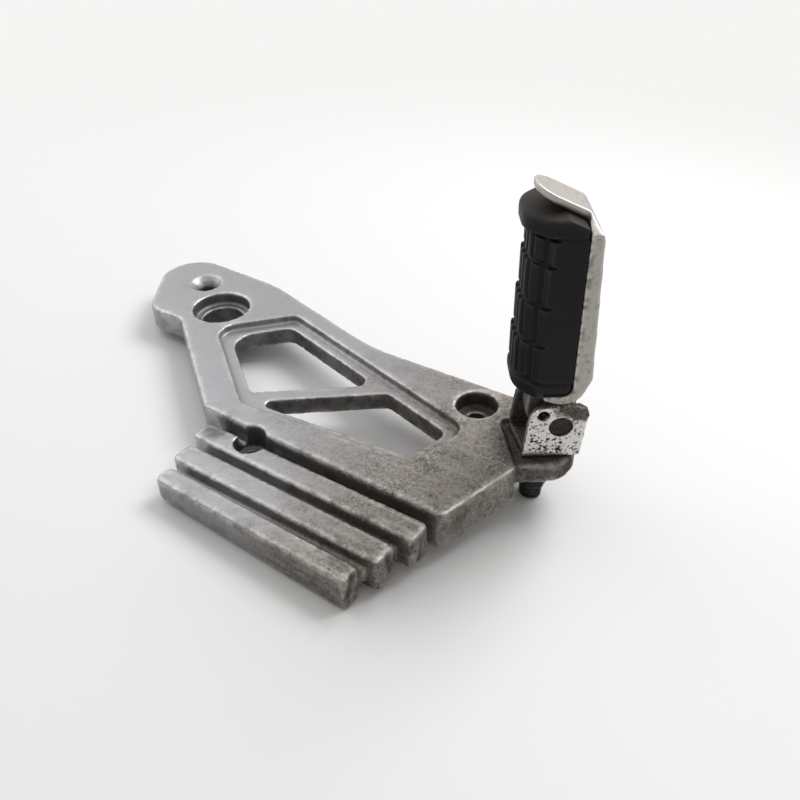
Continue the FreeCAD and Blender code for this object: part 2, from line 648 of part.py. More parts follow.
# Torsion spring: a coil round the pin, one leg hooked in the front ear and one in the tongue.
wire_radius = size("wire") / 2
coil = size("coil_radius")
hook_reach = math.hypot(size("spring_hole_x"), size("spring_hole_z"))
hook_turn = math.atan2(size("spring_hole_z"), size("spring_hole_x"))
start_turn = math.radians(size("spring_leg_angle"))
end_turn = hook_turn + math.acos(coil / hook_reach)
swept = (start_turn - end_turn) % (2 * math.pi) + 2 * math.pi * size("coil_turns")
coil_room = size("spring_space") - size("wire") - 2 * size("spring_play")
hook_run = math.sqrt(hook_reach ** 2 - coil ** 2)
climb = coil_room / (size("spring_leg") + coil * swept + hook_run)


def coil_point(share):
    turn = start_turn - swept * share
    level = climb * (size("spring_leg") + coil * swept * share)
    return FreeCAD.Vector(coil * math.cos(turn), coil * math.sin(turn), level)


def bend(before, tip, after, radius):
    # Round corner between two straight lengths of wire: its two ends and its crest.
    to_before, to_after = (before - tip).normalize(), (after - tip).normalize()
    half = to_before.getAngle(to_after) / 2
    trim = radius / math.tan(half)
    crest = tip + (to_before + to_after).normalize() * (radius / math.sin(half) - radius)
    return tip + to_before * trim, crest, tip + to_after * trim


arcs = round(size("coil_arcs"))
coil_points = [coil_point(i / (2 * arcs)) for i in range(2 * arcs + 1)]
coil_path = [Part.Arc(*coil_points[2 * i:2 * i + 3]).toShape() for i in range(arcs)]
first, last = coil_points[0], coil_points[-1]
leave = FreeCAD.Vector(math.sin(start_turn), -math.cos(start_turn), climb)
leg_end = first - leave * size("spring_leg")
hook_end = FreeCAD.Vector(size("spring_hole_x"), size("spring_hole_z"), coil_room)
hook = FreeCAD.Vector(0, 0, size("spring_hook"))
leg_bend = bend(leg_end - hook, leg_end, first, size("wire"))
hook_bend = bend(last, hook_end, hook_end + hook, size("wire"))
wire_path = Part.Wire([
    Part.makeLine(leg_end - hook, leg_bend[0]),
    Part.Arc(*leg_bend).toShape(),
    Part.makeLine(leg_bend[2], first),
    *coil_path,
    Part.makeLine(last, hook_bend[0]),
    Part.Arc(*hook_bend).toShape(),
    Part.makeLine(hook_bend[2], hook_end + hook),
])
ring = Part.Wire([Part.makeCircle(wire_radius, leg_end - hook, hook)])
spring = doc.addObject("Part::Feature", "return_spring")
spring.Shape = wire_path.makePipeShell([ring], True, False)
coil_start_y = mid - size("bracket_gap") / 2 + size("spring_space") - size("spring_play") - wire_radius
spring.Placement = FreeCAD.Placement(FreeCAD.Vector(pin[0], coil_start_y, pin[1]),
                                     FreeCAD.Rotation(FreeCAD.Vector(1, 0, 0), 90))


def peg(x, z, radius=0):
    return pin[0] + x, pin[1] + z, radius


# Peg carrier: cast tray with a cup under the rubber, a tongue on the pin and a tilted end flange.
carrier = new_body("peg_carrier")
peg_mid = "bracket_mid_y"
tray_profile = [
    peg(size("cup_left"), size("cup_floor"), size("cup_rim_round")),
    peg(size("cup_left"), size("cup_tip"), size("cup_edge_round")),
    peg(size("cup_low_x"), size("cup_low"), size("cup_low_round")),
    peg(size("cup_right"), size("cup_low") + size("cup_side_rise"), size("cup_side_round")),
    peg(size("tray_back_low"), size("tray_low"), size("tray_low_round")),
    peg(size("tray_back_high"), size("tray_high"), size("tray_high_round")),
    peg(size("tray_end_x"), size("tray_end")),
    peg(size("tray_lip"), size("tray_end") - size("flange_thickness")),
    peg(size("tray_lip"), size("cup_floor"), size("cup_round")),
]
side_profile(carrier, "Pad", "tray", tray_profile, peg_mid, "peg_width")
end_top = FreeCAD.Vector(size("tray_end_x"), size("tray_end"), 0)
end_low = FreeCAD.Vector(size("tray_back_high"), size("tray_high"), 0)
end_slope = math.degrees(math.atan2(end_top.y - end_low.y, end_top.x - end_low.x))
end_inside = shifted(edge(end_low.x, end_low.y, end_slope), size("tray_wall"))
floor_line = edge(size("tray_floor"), 0, 90)
open_line = edge(size("cup_left") - size("tray_wall"), 0, 90)
inside_low = meet(end_inside, floor_line)
inside_high = meet(end_inside, open_line)
inside_profile = [
    peg(size("cup_left") - size("tray_wall"), size("cup_floor")),
    peg(size("tray_floor"), size("cup_floor")),
    peg(inside_low.x, inside_low.y),
    peg(inside_high.x, inside_high.y),
]
side_profile(carrier, "Pocket", "inside", inside_profile, peg_mid, "peg_width - 2 * tray_wall")
under_profile = [
    peg(size("cup_left") - size("tray_wall"), 0),
    peg(size("tray_back_low"), 0),
    peg(size("tray_back_low"), size("cup_under")),
    peg(size("cup_left") - size("tray_wall"), size("cup_under")),
]
side_profile(carrier, "Pocket", "ear_room", under_profile, peg_mid, "peg_width - 2 * tray_wall")
shoulder_sketch = new_sketch(carrier, "shoulders_outline", "YZ_Plane", "pin_x + cut_reach")
for side in (-1, 1):
    draw_outline(shoulder_sketch, [
        (mid + side * size("flange_width") / 2, pin[1] + size("tray_end") + size("tray_wall"), 0),
        (mid + side * size("flange_width") / 2, pin[1] + size("tray_end"), 0),
        (mid + side * size("peg_width") / 2, pin[1] + size("shoulder_high"), 0),
        (mid + side * size("peg_width"), pin[1] + size("shoulder_high"), 0),
        (mid + side * size("peg_width"), pin[1] + size("tray_end") + size("tray_wall"), 0),
    ])
grow(carrier, "Pocket", "shoulders", shoulder_sketch, "2 * cut_reach")
flange_profile = [
    peg(size("tray_end_x"), size("tray_end")),
    peg(-size("flange_reach"), size("tray_end") + size("flange_rise")),
    peg(-size("flange_reach"), size("tray_end") + size("flange_rise") - size("flange_thickness")),
    peg(size("tray_lip"), size("tray_end") - size("flange_thickness")),
]
side_profile(carrier, "Pad", "flange", flange_profile, peg_mid, "flange_width")
nose_x = pin[0] - size("flange_reach")
nose = size("flange_round")
spare = size("tray_wall")
nose_high = "seat_height + pin_rise + tray_end + flange_rise"
nose_sketch = new_sketch(carrier, "nose_outline", "XY_Plane", nose_high)
for side in (-1, 1):
    rim = mid + side * size("flange_width") / 2
    draw_outline(nose_sketch, [
        (nose_x - spare, rim + side * spare, 0),
        (nose_x + nose, rim + side * spare, 0),
        (nose_x + nose, rim, 0),
        (nose_x, rim, nose),
        (nose_x, rim - side * nose, 0),
        (nose_x - spare, rim - side * nose, 0),
    ])
grow(carrier, "Pocket", "nose", nose_sketch, "cut_reach")
heel = -(size("pin_rise") - size("bracket_sheet") - size("heel_play"))
tongue_profile = [
    peg(size("cup_low_x"), size("cup_floor")),
    peg(size("cup_left") + size("tray_wall"), size("cup_tip")),
    peg(size("tongue_left"), size("tongue_high"), size("heel_round")),
    peg(size("tongue_left"), 0, size("knuckle_round")),
    peg(size("knuckle_left"), size("knuckle_low"), size("knuckle_round")),
    peg(size("heel_left"), heel, size("heel_round")),
    peg(size("tongue_right"), heel, size("heel_corner")),
    peg(size("tongue_right"), heel / 2, size("knuckle_side_round")),
    peg(size("cup_right"), size("cup_floor")),
]
tongue_mid = "bracket_mid_y + ( spring_space - tongue_play ) / 2"
side_profile(carrier, "Pad", "tongue", tongue_profile, tongue_mid, "bracket_gap - spring_space - tongue_play")
round_feature(carrier, "Pocket", "pin_bore", "XZ_Plane", [pin], pin_bore, front_face, "cut_reach")
hook_hole = (pin[0] + leg_end.x, pin[1] + leg_end.y)
round_feature(carrier, "Pocket", "hook_hole", "XZ_Plane", [hook_hole], "hook_hole", front_face, "cut_reach")
screws = [(mid, pin[1] + size("screw_low")), (mid, pin[1] + size("screw_high"))]
past_back = "pin_x + cut_reach"
round_feature(carrier, "Pocket", "screw_seats", "YZ_Plane", screws, "screw_seat_width", past_back,
              "cut_reach - screw_seat")
screw_bore = "screw_diameter + 2 * screw_play"
round_feature(carrier, "Pocket", "screw_holes", "YZ_Plane", screws, screw_bore, past_back, "cut_reach")

# Rubber: a smooth core, rows of tread blocks round it, a smooth low end and an outer lip.
rubber = new_body("peg_rubber")
pivot_height = "seat_height + pin_rise"
rubber_face = size("tray_lip") - size("rubber_play")
tread_rows = round(size("tread_rows"))


def crown(apex, half_width):
    # Section of the rubber: flat at the metal, straight sides and a crowned tread.
    shoulder = -apex + size("rubber_crown")
    return [
        (pin[0] + rubber_face, mid - half_width, 0),
        (pin[0] + rubber_face, mid + half_width, 0),
        (pin[0] + shoulder, mid + half_width, size("crown_side_round")),
        (pin[0] - apex, mid + half_width / 2, size("crown_top_round")),
        (pin[0] - apex, mid - half_width / 2, size("crown_top_round")),
        (pin[0] + shoulder, mid - half_width, size("crown_side_round")),
    ]


def tread_apex(height):
    share = (height - size("tread_first")) / (size("lip_low") - size("tread_first"))
    return size("rubber_apex_low") + share * (size("rubber_apex_high") - size("rubber_apex_low"))


half_rubber = size("rubber_width") / 2
depth = size("tread_depth")
low_end = "tread_first - rubber_low - tread_groove"
low_crown = crown(size("rubber_apex_low"), half_rubber)
outline_pad(rubber, "low_end", low_crown, f"{pivot_height} + rubber_low", low_end)


def rim_at(height):
    def test(box):
        level = box.ZLength < TOUCH and abs(box.ZMin - pin[1] - height) < TOUCH
        return level and box.XMin < pin[0] + rubber_face - TOUCH
    return test


round_edges(rubber, "low_round", rim_at(size("rubber_low")), "rubber_round")
core_low = new_sketch(rubber, "core_low", "XY_Plane", f"{pivot_height} + tread_first - tread_groove")
draw_outline(core_low, crown(tread_apex(size("tread_first")) - depth, half_rubber - depth / 2))
lip_foot = f"{pivot_height} + lip_low"
core_high = new_sketch(rubber, "core_high", "XY_Plane", lip_foot)
draw_outline(core_high, crown(tread_apex(size("lip_low")) - depth, half_rubber - depth / 2))
core = rubber.newObject("PartDesign::AdditiveLoft", "core")
core.Profile = core_low
core.Sections = [core_high]
core.Ruled = True
doc.recompute()
groove = size("tread_groove")
slots = int(half_rubber / size("tread_pitch"))
for row in range(tread_rows):
    start = f"{pivot_height} + tread_first + {row} * tread_row"
    apex = tread_apex(size("tread_first") + (row + 0.5) * size("tread_row"))
    row_high = "lip_low" if row == tread_rows - 1 else f"tread_first + {row + 1} * tread_row"
    block = f"{row_high} - tread_first - {row} * tread_row - tread_groove"
    outline_pad(rubber, f"row_{row + 1}", crown(apex, half_rubber), start, block)
    slot_sketch = new_sketch(rubber, f"slots_{row + 1}_outline", "XY_Plane", f"{start} + {block}")
    for i in range(-slots, slots + 1):
        offset = i * size("tread_pitch")
        lateral = max(0, abs(offset) - half_rubber / 2) / (half_rubber / 2)
        floor = pin[0] - apex + depth + lateral * size("rubber_crown")
        draw_outline(slot_sketch, [
            (pin[0] - apex - depth, mid + offset - groove / 2, 0),
            (floor, mid + offset - groove / 2, 0),
            (floor, mid + offset + groove / 2, 0),
            (pin[0] - apex - depth, mid + offset + groove / 2, 0),
        ])
    grow(rubber, "Pocket", f"slots_{row + 1}", slot_sketch, block)
outline_pad(rubber, "outer_lip", crown(size("rubber_lip"), half_rubber), lip_foot, "lip_high - lip_low")
round_edges(rubber, "lip_round", rim_at(size("lip_high")), "rubber_lip_round")
trim_play = size("flange_thickness") + 2 * size("rubber_play")
trim_slope = size("flange_rise") / (size("flange_reach") + size("tray_end_x"))
trim_reach = size("cut_reach")
trim_profile = [
    peg(-trim_reach, size("tray_end") - trim_play + trim_slope * (trim_reach + size("tray_end_x"))),
    peg(size("tray_end_x"), size("tray_end") - trim_play),
    peg(trim_reach, size("tray_end") - trim_play),
    peg(trim_reach, size("tray_end") + trim_reach),
    peg(-trim_reach, size("tray_end") + trim_reach),
]
side_profile(rubber, "Pocket", "end_trim", trim_profile, peg_mid, "peg_width + 2 * tray_wall")
notch_floor = size("cup_floor") + size("rubber_play")
notch_profile = [
    peg(size("rubber_notch"), 0),
    peg(size("rubber_notch"), notch_floor, size("notch_round")),
    peg(rubber_face, notch_floor, size("cup_round") + size("rubber_play")),
    peg(rubber_face, notch_floor + 2 * size("cup_round")),
    peg(size("cut_reach"), notch_floor + 2 * size("cup_round")),
    peg(size("cut_reach"), 0),
]
side_profile(rubber, "Pocket", "cup_notch", notch_profile, peg_mid, "peg_width + 2 * tray_wall")
plug_face = size("tray_floor") - size("rubber_play")
plug_root = rubber_face - size("plug_root")
plug_profile = [
    peg(plug_root, notch_floor),
    peg(plug_face, notch_floor),
    peg(plug_face, size("tray_high") - size("tray_wall")),
    peg(plug_root, size("tray_high")),
]
side_profile(rubber, "Pad", "plug", plug_profile, peg_mid, "peg_width - 2 * tray_wall - 2 * rubber_play")
strip_low, strip_high = size("insert_low"), size("insert_low") + size("insert_length")
strip_front = plug_face - size("insert_thickness")
gap = size("insert_play")
cavity_profile = [
    peg(strip_front - gap, strip_low - gap),
    peg(plug_face + gap, strip_low - gap),
    peg(plug_face + gap, strip_high + gap),
    peg(strip_front - gap, strip_high + gap),
]
side_profile(rubber, "Pocket", "cavity", cavity_profile, peg_mid, "insert_width + 2 * insert_play")

insert = new_body("rubber_insert")
strip_profile = [
    peg(strip_front, strip_low),
    peg(plug_face, strip_low),
    peg(plug_face, strip_high),
    peg(strip_front, strip_high),
]
side_profile(insert, "Pad", "strip", strip_profile, peg_mid, "insert_width")
round_feature(insert, "Pocket", "threads", "YZ_Plane", screws, "screw_diameter + 2 * thread_play",
              past_back, "2 * cut_reach")

# The two screws of the rubber and their washers, each pair one group of solids.
screw_x = pin[0] + size("screw_seat")
screw_end = pin[0] + strip_front + size("insert_play")
head_x = screw_x + size("screw_washer_thickness")
along_x = FreeCAD.Vector(1, 0, 0)
screw_solids = []
washer_solids = []
for y, z in screws:
    shank = Part.makeCylinder(size("screw_diameter") / 2, head_x - screw_end,
                              FreeCAD.Vector(screw_end, y, z), along_x)
    hex_points = [FreeCAD.Vector(head_x, v, w) for v, w, _ in hexagon(y, z, size("screw_head"))]
    hex_face = Part.Face(Part.makePolygon(hex_points + hex_points[:1]))
    head = hex_face.extrude(along_x * size("screw_head_length"))
    screw_solids.append(shank.fuse(head).removeSplitter())
    ring_radii = [size("screw_washer") / 2, size("screw_diameter") / 2 + size("screw_play")]
    outer, bore = [Part.makeCylinder(radius, size("screw_washer_thickness"),
                                     FreeCAD.Vector(screw_x, y, z), along_x) for radius in ring_radii]
    washer_solids.append(outer.cut(bore))
for name, solids in (("rubber_screws", screw_solids), ("rubber_screw_washers", washer_solids)):
    group = doc.addObject("Part::Feature", name)
    group.Shape = Part.makeCompound(solids)

doc.recompute()
faults = [o.Name for o in doc.Objects if "Invalid" in o.State or "Error" in o.State]
if faults:
    raise RuntimeError("objects with faults: " + ", ".join(faults))

NODES = ["cast_plate", "peg_bracket", "bracket_washer", "bracket_nut", "pivot_pin", "return_spring",
         "peg_carrier", "peg_rubber", "rubber_insert", "rubber_screws", "rubber_screw_washers"]
os.makedirs("parts", exist_ok=True)
for name in NODES:
    node = doc.getObject(name)
    if node.Shape.isNull() or not node.Shape.isValid():
        raise RuntimeError("bad shape: " + name)
    node.Shape.exportStep(f"parts/{name}.step")
    print(name, len(node.Shape.Solids), round(node.Shape.Volume / 1000, 2), "cm3")
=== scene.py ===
import json
import math

import bmesh
import bpy
import numpy as np
from mathutils import Matrix, Vector, noise


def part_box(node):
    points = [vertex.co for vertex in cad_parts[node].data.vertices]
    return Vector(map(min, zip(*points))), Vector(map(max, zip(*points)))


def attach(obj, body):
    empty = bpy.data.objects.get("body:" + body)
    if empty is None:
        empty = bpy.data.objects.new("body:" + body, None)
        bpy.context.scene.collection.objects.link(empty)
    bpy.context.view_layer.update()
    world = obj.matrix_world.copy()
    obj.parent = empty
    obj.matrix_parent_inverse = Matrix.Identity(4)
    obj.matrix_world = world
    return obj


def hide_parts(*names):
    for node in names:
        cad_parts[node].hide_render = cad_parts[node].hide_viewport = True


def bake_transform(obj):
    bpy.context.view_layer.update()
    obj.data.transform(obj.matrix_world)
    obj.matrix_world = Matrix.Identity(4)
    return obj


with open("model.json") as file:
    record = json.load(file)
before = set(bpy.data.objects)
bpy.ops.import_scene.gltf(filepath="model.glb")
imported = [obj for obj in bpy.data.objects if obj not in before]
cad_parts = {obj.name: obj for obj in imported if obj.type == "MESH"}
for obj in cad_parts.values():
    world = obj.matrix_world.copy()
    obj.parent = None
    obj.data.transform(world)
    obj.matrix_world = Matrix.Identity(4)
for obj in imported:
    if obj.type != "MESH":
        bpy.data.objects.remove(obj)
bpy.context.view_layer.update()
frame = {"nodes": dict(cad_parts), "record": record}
nodes = frame["nodes"]
record = frame["record"]
mm = 0.001
scene = bpy.context.scene
scene.view_settings.view_transform = "Standard"
print("frame loaded:", len(nodes), "nodes")


def srgb(code):  # sRGB hex to linear RGBA
    parts = [int(code[i:i + 2], 16) / 255 for i in (1, 3, 5)]
    linear = [p / 12.92 if p <= 0.04045 else ((p + 0.055) / 1.055) ** 2.4 for p in parts]
    return (*linear, 1.0)


def put(tree, kind, settings=None, feeds=None):
    # one node with its settings and links; a node given as a feed stands for its first output in use
    node = tree.nodes.new(kind)
    for name, value in (settings or {}).items():
        if isinstance(name, int) or name in node.inputs:
            node.inputs[name].default_value = value
        else:
            setattr(node, name, value)
    for name, source in (feeds or {}).items():
        if isinstance(source, bpy.types.Node):
            source = next(output for output in source.outputs if output.enabled)
        tree.links.new(source, node.inputs[name])
    return node


def newMaterial(name):
    material = bpy.data.materials.new(name)
    material.use_nodes = True
    material.node_tree.nodes.clear()
    return material, material.node_tree


def perMetre(size):  # texture scale for a grain of that many millimetres
    return 1.0 / (size * mm)


# Finishes. Each worn piece carries three point values that its material reads: relief (mm, edges above 0,
# hollows below), grime and shade (0 to 1, road dirt and painted shade) and mark (0 to 1, a bright edge or a
# crust).
pointValues = ("relief", "grimeAndShade", "mark")


def wornFinish(name, noises, ramps, cells):
    # a new material and what its nodes read, by name: the place, the point values, noises, cells and ramps
    material, tree = newMaterial(name)
    coords = put(tree, "ShaderNodeTexCoord")
    read = {"place": coords.outputs["Object"], "normal": coords.outputs["Normal"]}
    for value in pointValues:
        read[value] = put(tree, "ShaderNodeAttribute", {"attribute_name": value}).outputs["Fac"]
    for label, (size, detail, roughness) in noises.items():
        settings = {"Scale": perMetre(size), "Detail": detail, "Roughness": roughness}
        read[label] = put(tree, "ShaderNodeTexNoise", settings, {"Vector": read["place"]})
    for label, size in cells.items():
        read[label] = put(tree, "ShaderNodeTexVoronoi", {"Scale": perMetre(size)}, {"Vector": read["place"]})
    for label, (source, span) in ramps.items():
        read[label] = put(tree, "ShaderNodeMapRange", span, {"Value": read[source]})
    return material, tree, read


def layCoats(tree, base, coats):  # colours laid over the base colour, each by its share of the surface
    under = None
    for colour, share in coats:
        feeds = {0: share} if under is None else {0: share, 6: under}
        under = put(tree, "ShaderNodeMix", {"data_type": "RGBA", 6: srgb(base), 7: srgb(colour)}, feeds)
    return under


castSettings = {
    # stain: the colour of dirt and of painted shade
    "pale": "#a6a6a9", "heel": "#827d77", "dark": "#545049", "stainAndShade": "#3d362f", "rubbed": "#dedcd8",
    "scuffed": "#b0ada8", "fleck": "#c2bfb9", "metallic": 0.92,
    # size in mm, detail and roughness of each noise, and the size of each kind of cell
    "noises": {"cloud": (34.0, 3.0, 0.5), "mottle": (8.0, 6.0, 0.7), "speck": (1.5, 4.0, 0.75),
               "grain": (0.9, 3.0, 0.5)},
    "cells": {"pit": 2.6, "chip": 2.4},
    # what drives each ramp, and its range
    "ramps": {
        "blotch": ("mottle", {"From Min": 0.47, "From Max": 0.66}),
        "dots": ("speck", {"From Min": 0.48, "From Max": 0.62, "To Max": 0.8}),
        "bare": ("chip", {"From Min": 0.20, "From Max": 0.08, "To Max": 0.45}),
        "flake": ("speck", {"From Min": 0.46, "From Max": 0.36, "To Max": 0.5}),
        "cluster": ("cloud", {"From Min": 0.46, "From Max": 0.60}),
        # hollows painted darker: dirt and painted shade
        "hollowDirtAndShade": ("relief", {"From Min": -0.12, "From Max": -1.1, "To Max": 0.42}),
        "streaky": ("mottle", {"From Min": 0.3, "From Max": 0.7, "To Min": 0.75}),
        "ridge": ("relief", {"From Min": 0.22, "From Max": 0.7, "To Max": 0.38}),
        "patchy": ("mottle", {"From Min": 0.62, "From Max": 0.36}),
        "pitDepth": ("pit", {"From Max": 0.45}),
    },
    # the corroded end lies along dirtWay, and these go from the clean end's value to the corroded end's
    "dirtWay": (0.80, -0.60, 0.0), "dirtStart": -92.0, "dirtFull": 16.0, "dirtSway": 90.0,
    "dirtRamps": {"spotAmount": {"To Min": 0.10, "To Max": 0.62},
                  "skinRough": {"To Min": 0.36, "To Max": 0.44},
                  "skinDepth": {"To Min": 0.10, "To Max": 0.65}},
    "blotchWeight": 0.7, "spotRough": 0.3, "grimeRough": 0.25,
    "ribTop": 17.5, "ribAngle": -35.5, "scuffLength": 38.0, "scuffWidth": 2.6, "scuffDetail": 3.0,
    "scuff": {"From Min": 0.50, "From Max": 0.68, "To Max": 0.42}, "scuffAbove": 0.25, "scuffFade": 1.0,
    # upright walls painted darker: painted shade with a little dirt
    "wall": {"From Min": 0.75, "From Max": 0.2, "To Max": 0.42},
    "speckHeight": 0.9, "grainHeight": 0.4, "bumpDepth": 0.4,
}


def castCorrosion(tree, read):
    # how corroded the skin is, from 0 at the clean ear to 1 at the heel, with a ragged border
    s = castSettings
    sway = s["dirtSway"] * mm
    along = put(tree, "ShaderNodeVectorMath", {"operation": "DOT_PRODUCT", 1: s["dirtWay"]},
                {0: read["place"]})
    ragged = put(tree, "ShaderNodeMath", {"operation": "MULTIPLY_ADD", 1: sway, 2: -sway / 2},
                 {0: read["cloud"]})
    border = put(tree, "ShaderNodeMath", {"operation": "ADD"}, {0: along, 1: ragged})
    span = {"From Min": s["dirtStart"] * mm, "From Max": s["dirtFull"] * mm}
    read["dirt"] = put(tree, "ShaderNodeMapRange", {"interpolation_type": "SMOOTHSTEP", **span},
                       {"Value": border})
    for label, ends in s["dirtRamps"].items():
        read[label] = put(tree, "ShaderNodeMapRange", ends, {"Value": read["dirt"]})


def castSpots(tree, read):  # dark mottling and specks
    spots = put(tree, "ShaderNodeMath", {"operation": "MULTIPLY_ADD", 1: castSettings["blotchWeight"]},
                {0: read["blotch"], 2: read["dots"]})
    return put(tree, "ShaderNodeMath", {"operation": "MULTIPLY", "use_clamp": True},
               {0: spots, 1: read["spotAmount"]})


def castFlecks(tree, read):  # pale flecks where the crust has broken off
    flakes = put(tree, "ShaderNodeMath", {"operation": "MULTIPLY"}, {0: read["flake"], 1: read["cluster"]})
    broken = put(tree, "ShaderNodeMath", {"operation": "MAXIMUM"}, {0: read["bare"], 1: flakes})
    return put(tree, "ShaderNodeMath", {"operation": "MULTIPLY"}, {0: broken, 1: read["dirt"]})


def castScuffs(tree, read):
    # soft scuffs along the heel ribs, fainter on the plate above them; the mapping gives the strokes' size
    s = castSettings
    width = s["scuffWidth"] * mm
    strokes = {"Rotation": (0, 0, math.radians(s["ribAngle"])),
               "Scale": (s["scuffLength"] * mm, width, width)}
    turned = put(tree, "ShaderNodeMapping", {"vector_type": "TEXTURE", **strokes}, {"Vector": read["place"]})
    stroke = put(tree, "ShaderNodeTexNoise", {"Scale": 1.0, "Detail": s["scuffDetail"]}, {"Vector": turned})
    scuff = put(tree, "ShaderNodeMapRange", s["scuff"], {"Value": stroke})
    height = put(tree, "ShaderNodeSeparateXYZ", {}, {0: read["place"]})
    span = {"From Min": (s["ribTop"] + s["scuffFade"]) * mm, "From Max": s["ribTop"] * mm}
    onRibs = put(tree, "ShaderNodeMapRange", {**span, "To Min": s["scuffAbove"]},
                 {"Value": height.outputs["Z"]})
    scuffRibs = put(tree, "ShaderNodeMath", {"operation": "MULTIPLY"}, {0: scuff, 1: onRibs})
    return put(tree, "ShaderNodeMath", {"operation": "MULTIPLY"}, {0: scuffRibs, 1: read["dirt"]})


def castWallDirtAndShade(tree, read):  # upright walls painted darker than the flat faces, in blotches: painted shade with a little dirt
    slope = put(tree, "ShaderNodeSeparateXYZ", {}, {0: read["normal"]})
    level = put(tree, "ShaderNodeMath", {"operation": "ABSOLUTE"}, {0: slope.outputs["Z"]})
    wall = put(tree, "ShaderNodeMapRange", castSettings["wall"], {"Value": level})
    return put(tree, "ShaderNodeMath", {"operation": "MULTIPLY"}, {0: wall, 1: read["blotch"]})


def castGrimeAndShade(tree, read):  # streaky road dirt with painted shade from the grime value, and dirt and painted shade in the hollows
    cakedAndShaded = put(tree, "ShaderNodeMath", {"operation": "MULTIPLY"}, {0: read["grimeAndShade"], 1: read["streaky"]})
    return put(tree, "ShaderNodeMath", {"operation": "MAXIMUM"}, {0: read["hollowDirtAndShade"], 1: cakedAndShaded})


def castRubbing(tree, read):  # edges rubbed in patches, and the marked bright edges
    rubbed = put(tree, "ShaderNodeMath", {"operation": "MULTIPLY", "use_clamp": True},
                 {0: read["ridge"], 1: read["patchy"]})
    return put(tree, "ShaderNodeMath", {"operation": "MAXIMUM"}, {0: rubbed, 1: read["mark"]})


def castBump(tree, read):  # cast skin: fine grain all over, pits where it is corroded
    s = castSettings
    pitted = put(tree, "ShaderNodeMath", {"operation": "MULTIPLY"},
                 {0: read["pitDepth"], 1: read["spotAmount"]})
    coarse = put(tree, "ShaderNodeMath", {"operation": "MULTIPLY_ADD", 1: s["speckHeight"]},
                 {0: read["speck"], 2: pitted})
    height = put(tree, "ShaderNodeMath", {"operation": "MULTIPLY_ADD", 1: s["grainHeight"]},
                 {0: read["grain"], 2: coarse})
    return put(tree, "ShaderNodeBump", {"Distance": s["bumpDepth"] * mm},
               {"Height": height, "Strength": read["skinDepth"]})


def castAluminium():
    # pressure-cast aluminium, bare: smooth pale skin at the ear, mottled and pitted towards the heel
    # ribs and the peg, grime and painted shade in the hollows, rubbed bright on some edges
    s = castSettings
    material, tree, read = wornFinish("bareCastAluminium", s["noises"], s["ramps"], s["cells"])
    castCorrosion(tree, read)
    spots = castSpots(tree, read)
    grimeAndShade = castGrimeAndShade(tree, read)
    coats = [(s["heel"], read["dirt"]), (s["dark"], spots), (s["fleck"], castFlecks(tree, read)),
             (s["scuffed"], castScuffs(tree, read)), (s["dark"], castWallDirtAndShade(tree, read)), (s["stainAndShade"], grimeAndShade),
             (s["rubbed"], castRubbing(tree, read))]
    rough = read["skinRough"]
    for share, weight in ((spots, s["spotRough"]), (grimeAndShade, s["grimeRough"])):
        rough = put(tree, "ShaderNodeMath", {"operation": "MULTIPLY_ADD", 1: weight, "use_clamp": True},
                    {0: share, 2: rough})
    shader = put(tree, "ShaderNodeBsdfPrincipled", {"Metallic": s["metallic"]},
                 {"Base Color": layCoats(tree, s["pale"], coats), "Roughness": rough,
                  "Normal": castBump(tree, read)})
    put(tree, "ShaderNodeOutputMaterial", {}, {"Surface": shader})
    return material


metalFinishes = {  # mottle and pit in mm; pitShare and rough run from clean to eaten
    # stain: colour of stains and of painted shade in the hollows; crust: of crust, dirt and painted shade
    "rubbedAluminium": {  # the peg's tray: cast aluminium polished by boots, soft grey stains
        "base": "#a9a59f", "stainAndShade": "#7b776f", "edge": "#cdcac4", "crust": "#46413a", "metallic": 0.9,
        "mottle": 7.0, "pit": 2.2, "pitShare": (0.50, 0.86), "rough": (0.40, 0.52), "bump": 0.25},
    "pittedPlating": {  # bright plating on pressed steel, eaten through in black pits, one corner crusted
        "base": "#d2cecb", "stainAndShade": "#2e2722", "edge": "#e6e2de", "crust": "#17120f", "lump": "#4f4a41",
        "mottle": 5.0, "pit": 1.25, "pitShare": (0.52, 0.66), "metallic": 0.92, "rough": (0.26, 0.66),
        "bump": 0.5},
    "dullZinc": {  # zinc-plated steel gone matt
        "base": "#b3b1aa", "stainAndShade": "#6a5f52", "edge": "#cfcdc7", "crust": "#5a5046", "metallic": 0.9,
        "mottle": 3.0, "pit": 1.2, "pitShare": (0.58, 0.75), "rough": (0.36, 0.6), "bump": 0.25},
    "brownRust": {  # bare steel under a thin brown rust, worn on the rim
        "base": "#352a24", "stainAndShade": "#1c1410", "edge": "#6d5d52", "crust": "#2a1f19", "metallic": 0.4,
        "mottle": 2.4, "pit": 0.9, "pitShare": (0.42, 0.68), "rough": (0.5, 0.8), "bump": 0.6},
    "oilyBlackSteel": {  # black oxide with road oil on it
        "base": "#161514", "stainAndShade": "#2c231d", "edge": "#3a3735", "crust": "#1d1814", "metallic": 0.5,
        "mottle": 3.0, "pit": 1.0, "pitShare": (0.55, 0.75), "rough": (0.36, 0.6), "bump": 0.4},
}
metalSettings = {  # shared by the metal finishes
    "mottleNoise": (5.0, 0.6), "pitNoise": (4.0, 0.6), "pitSway": 0.5, "bumpDepth": 0.25,
    "ramps": {
        # hollows painted darker: dirt and painted shade
        "hollowDirtAndShade": ("relief", {"From Min": -0.03, "From Max": -0.5, "To Max": 0.8}),
        "ridge": ("relief", {"From Min": 0.08, "From Max": 0.45, "To Max": 0.55}),
        "thin": ("pit", {"From Min": 0.35, "From Max": 0.65, "To Min": 1.0, "To Max": 0.7}),
    },
}


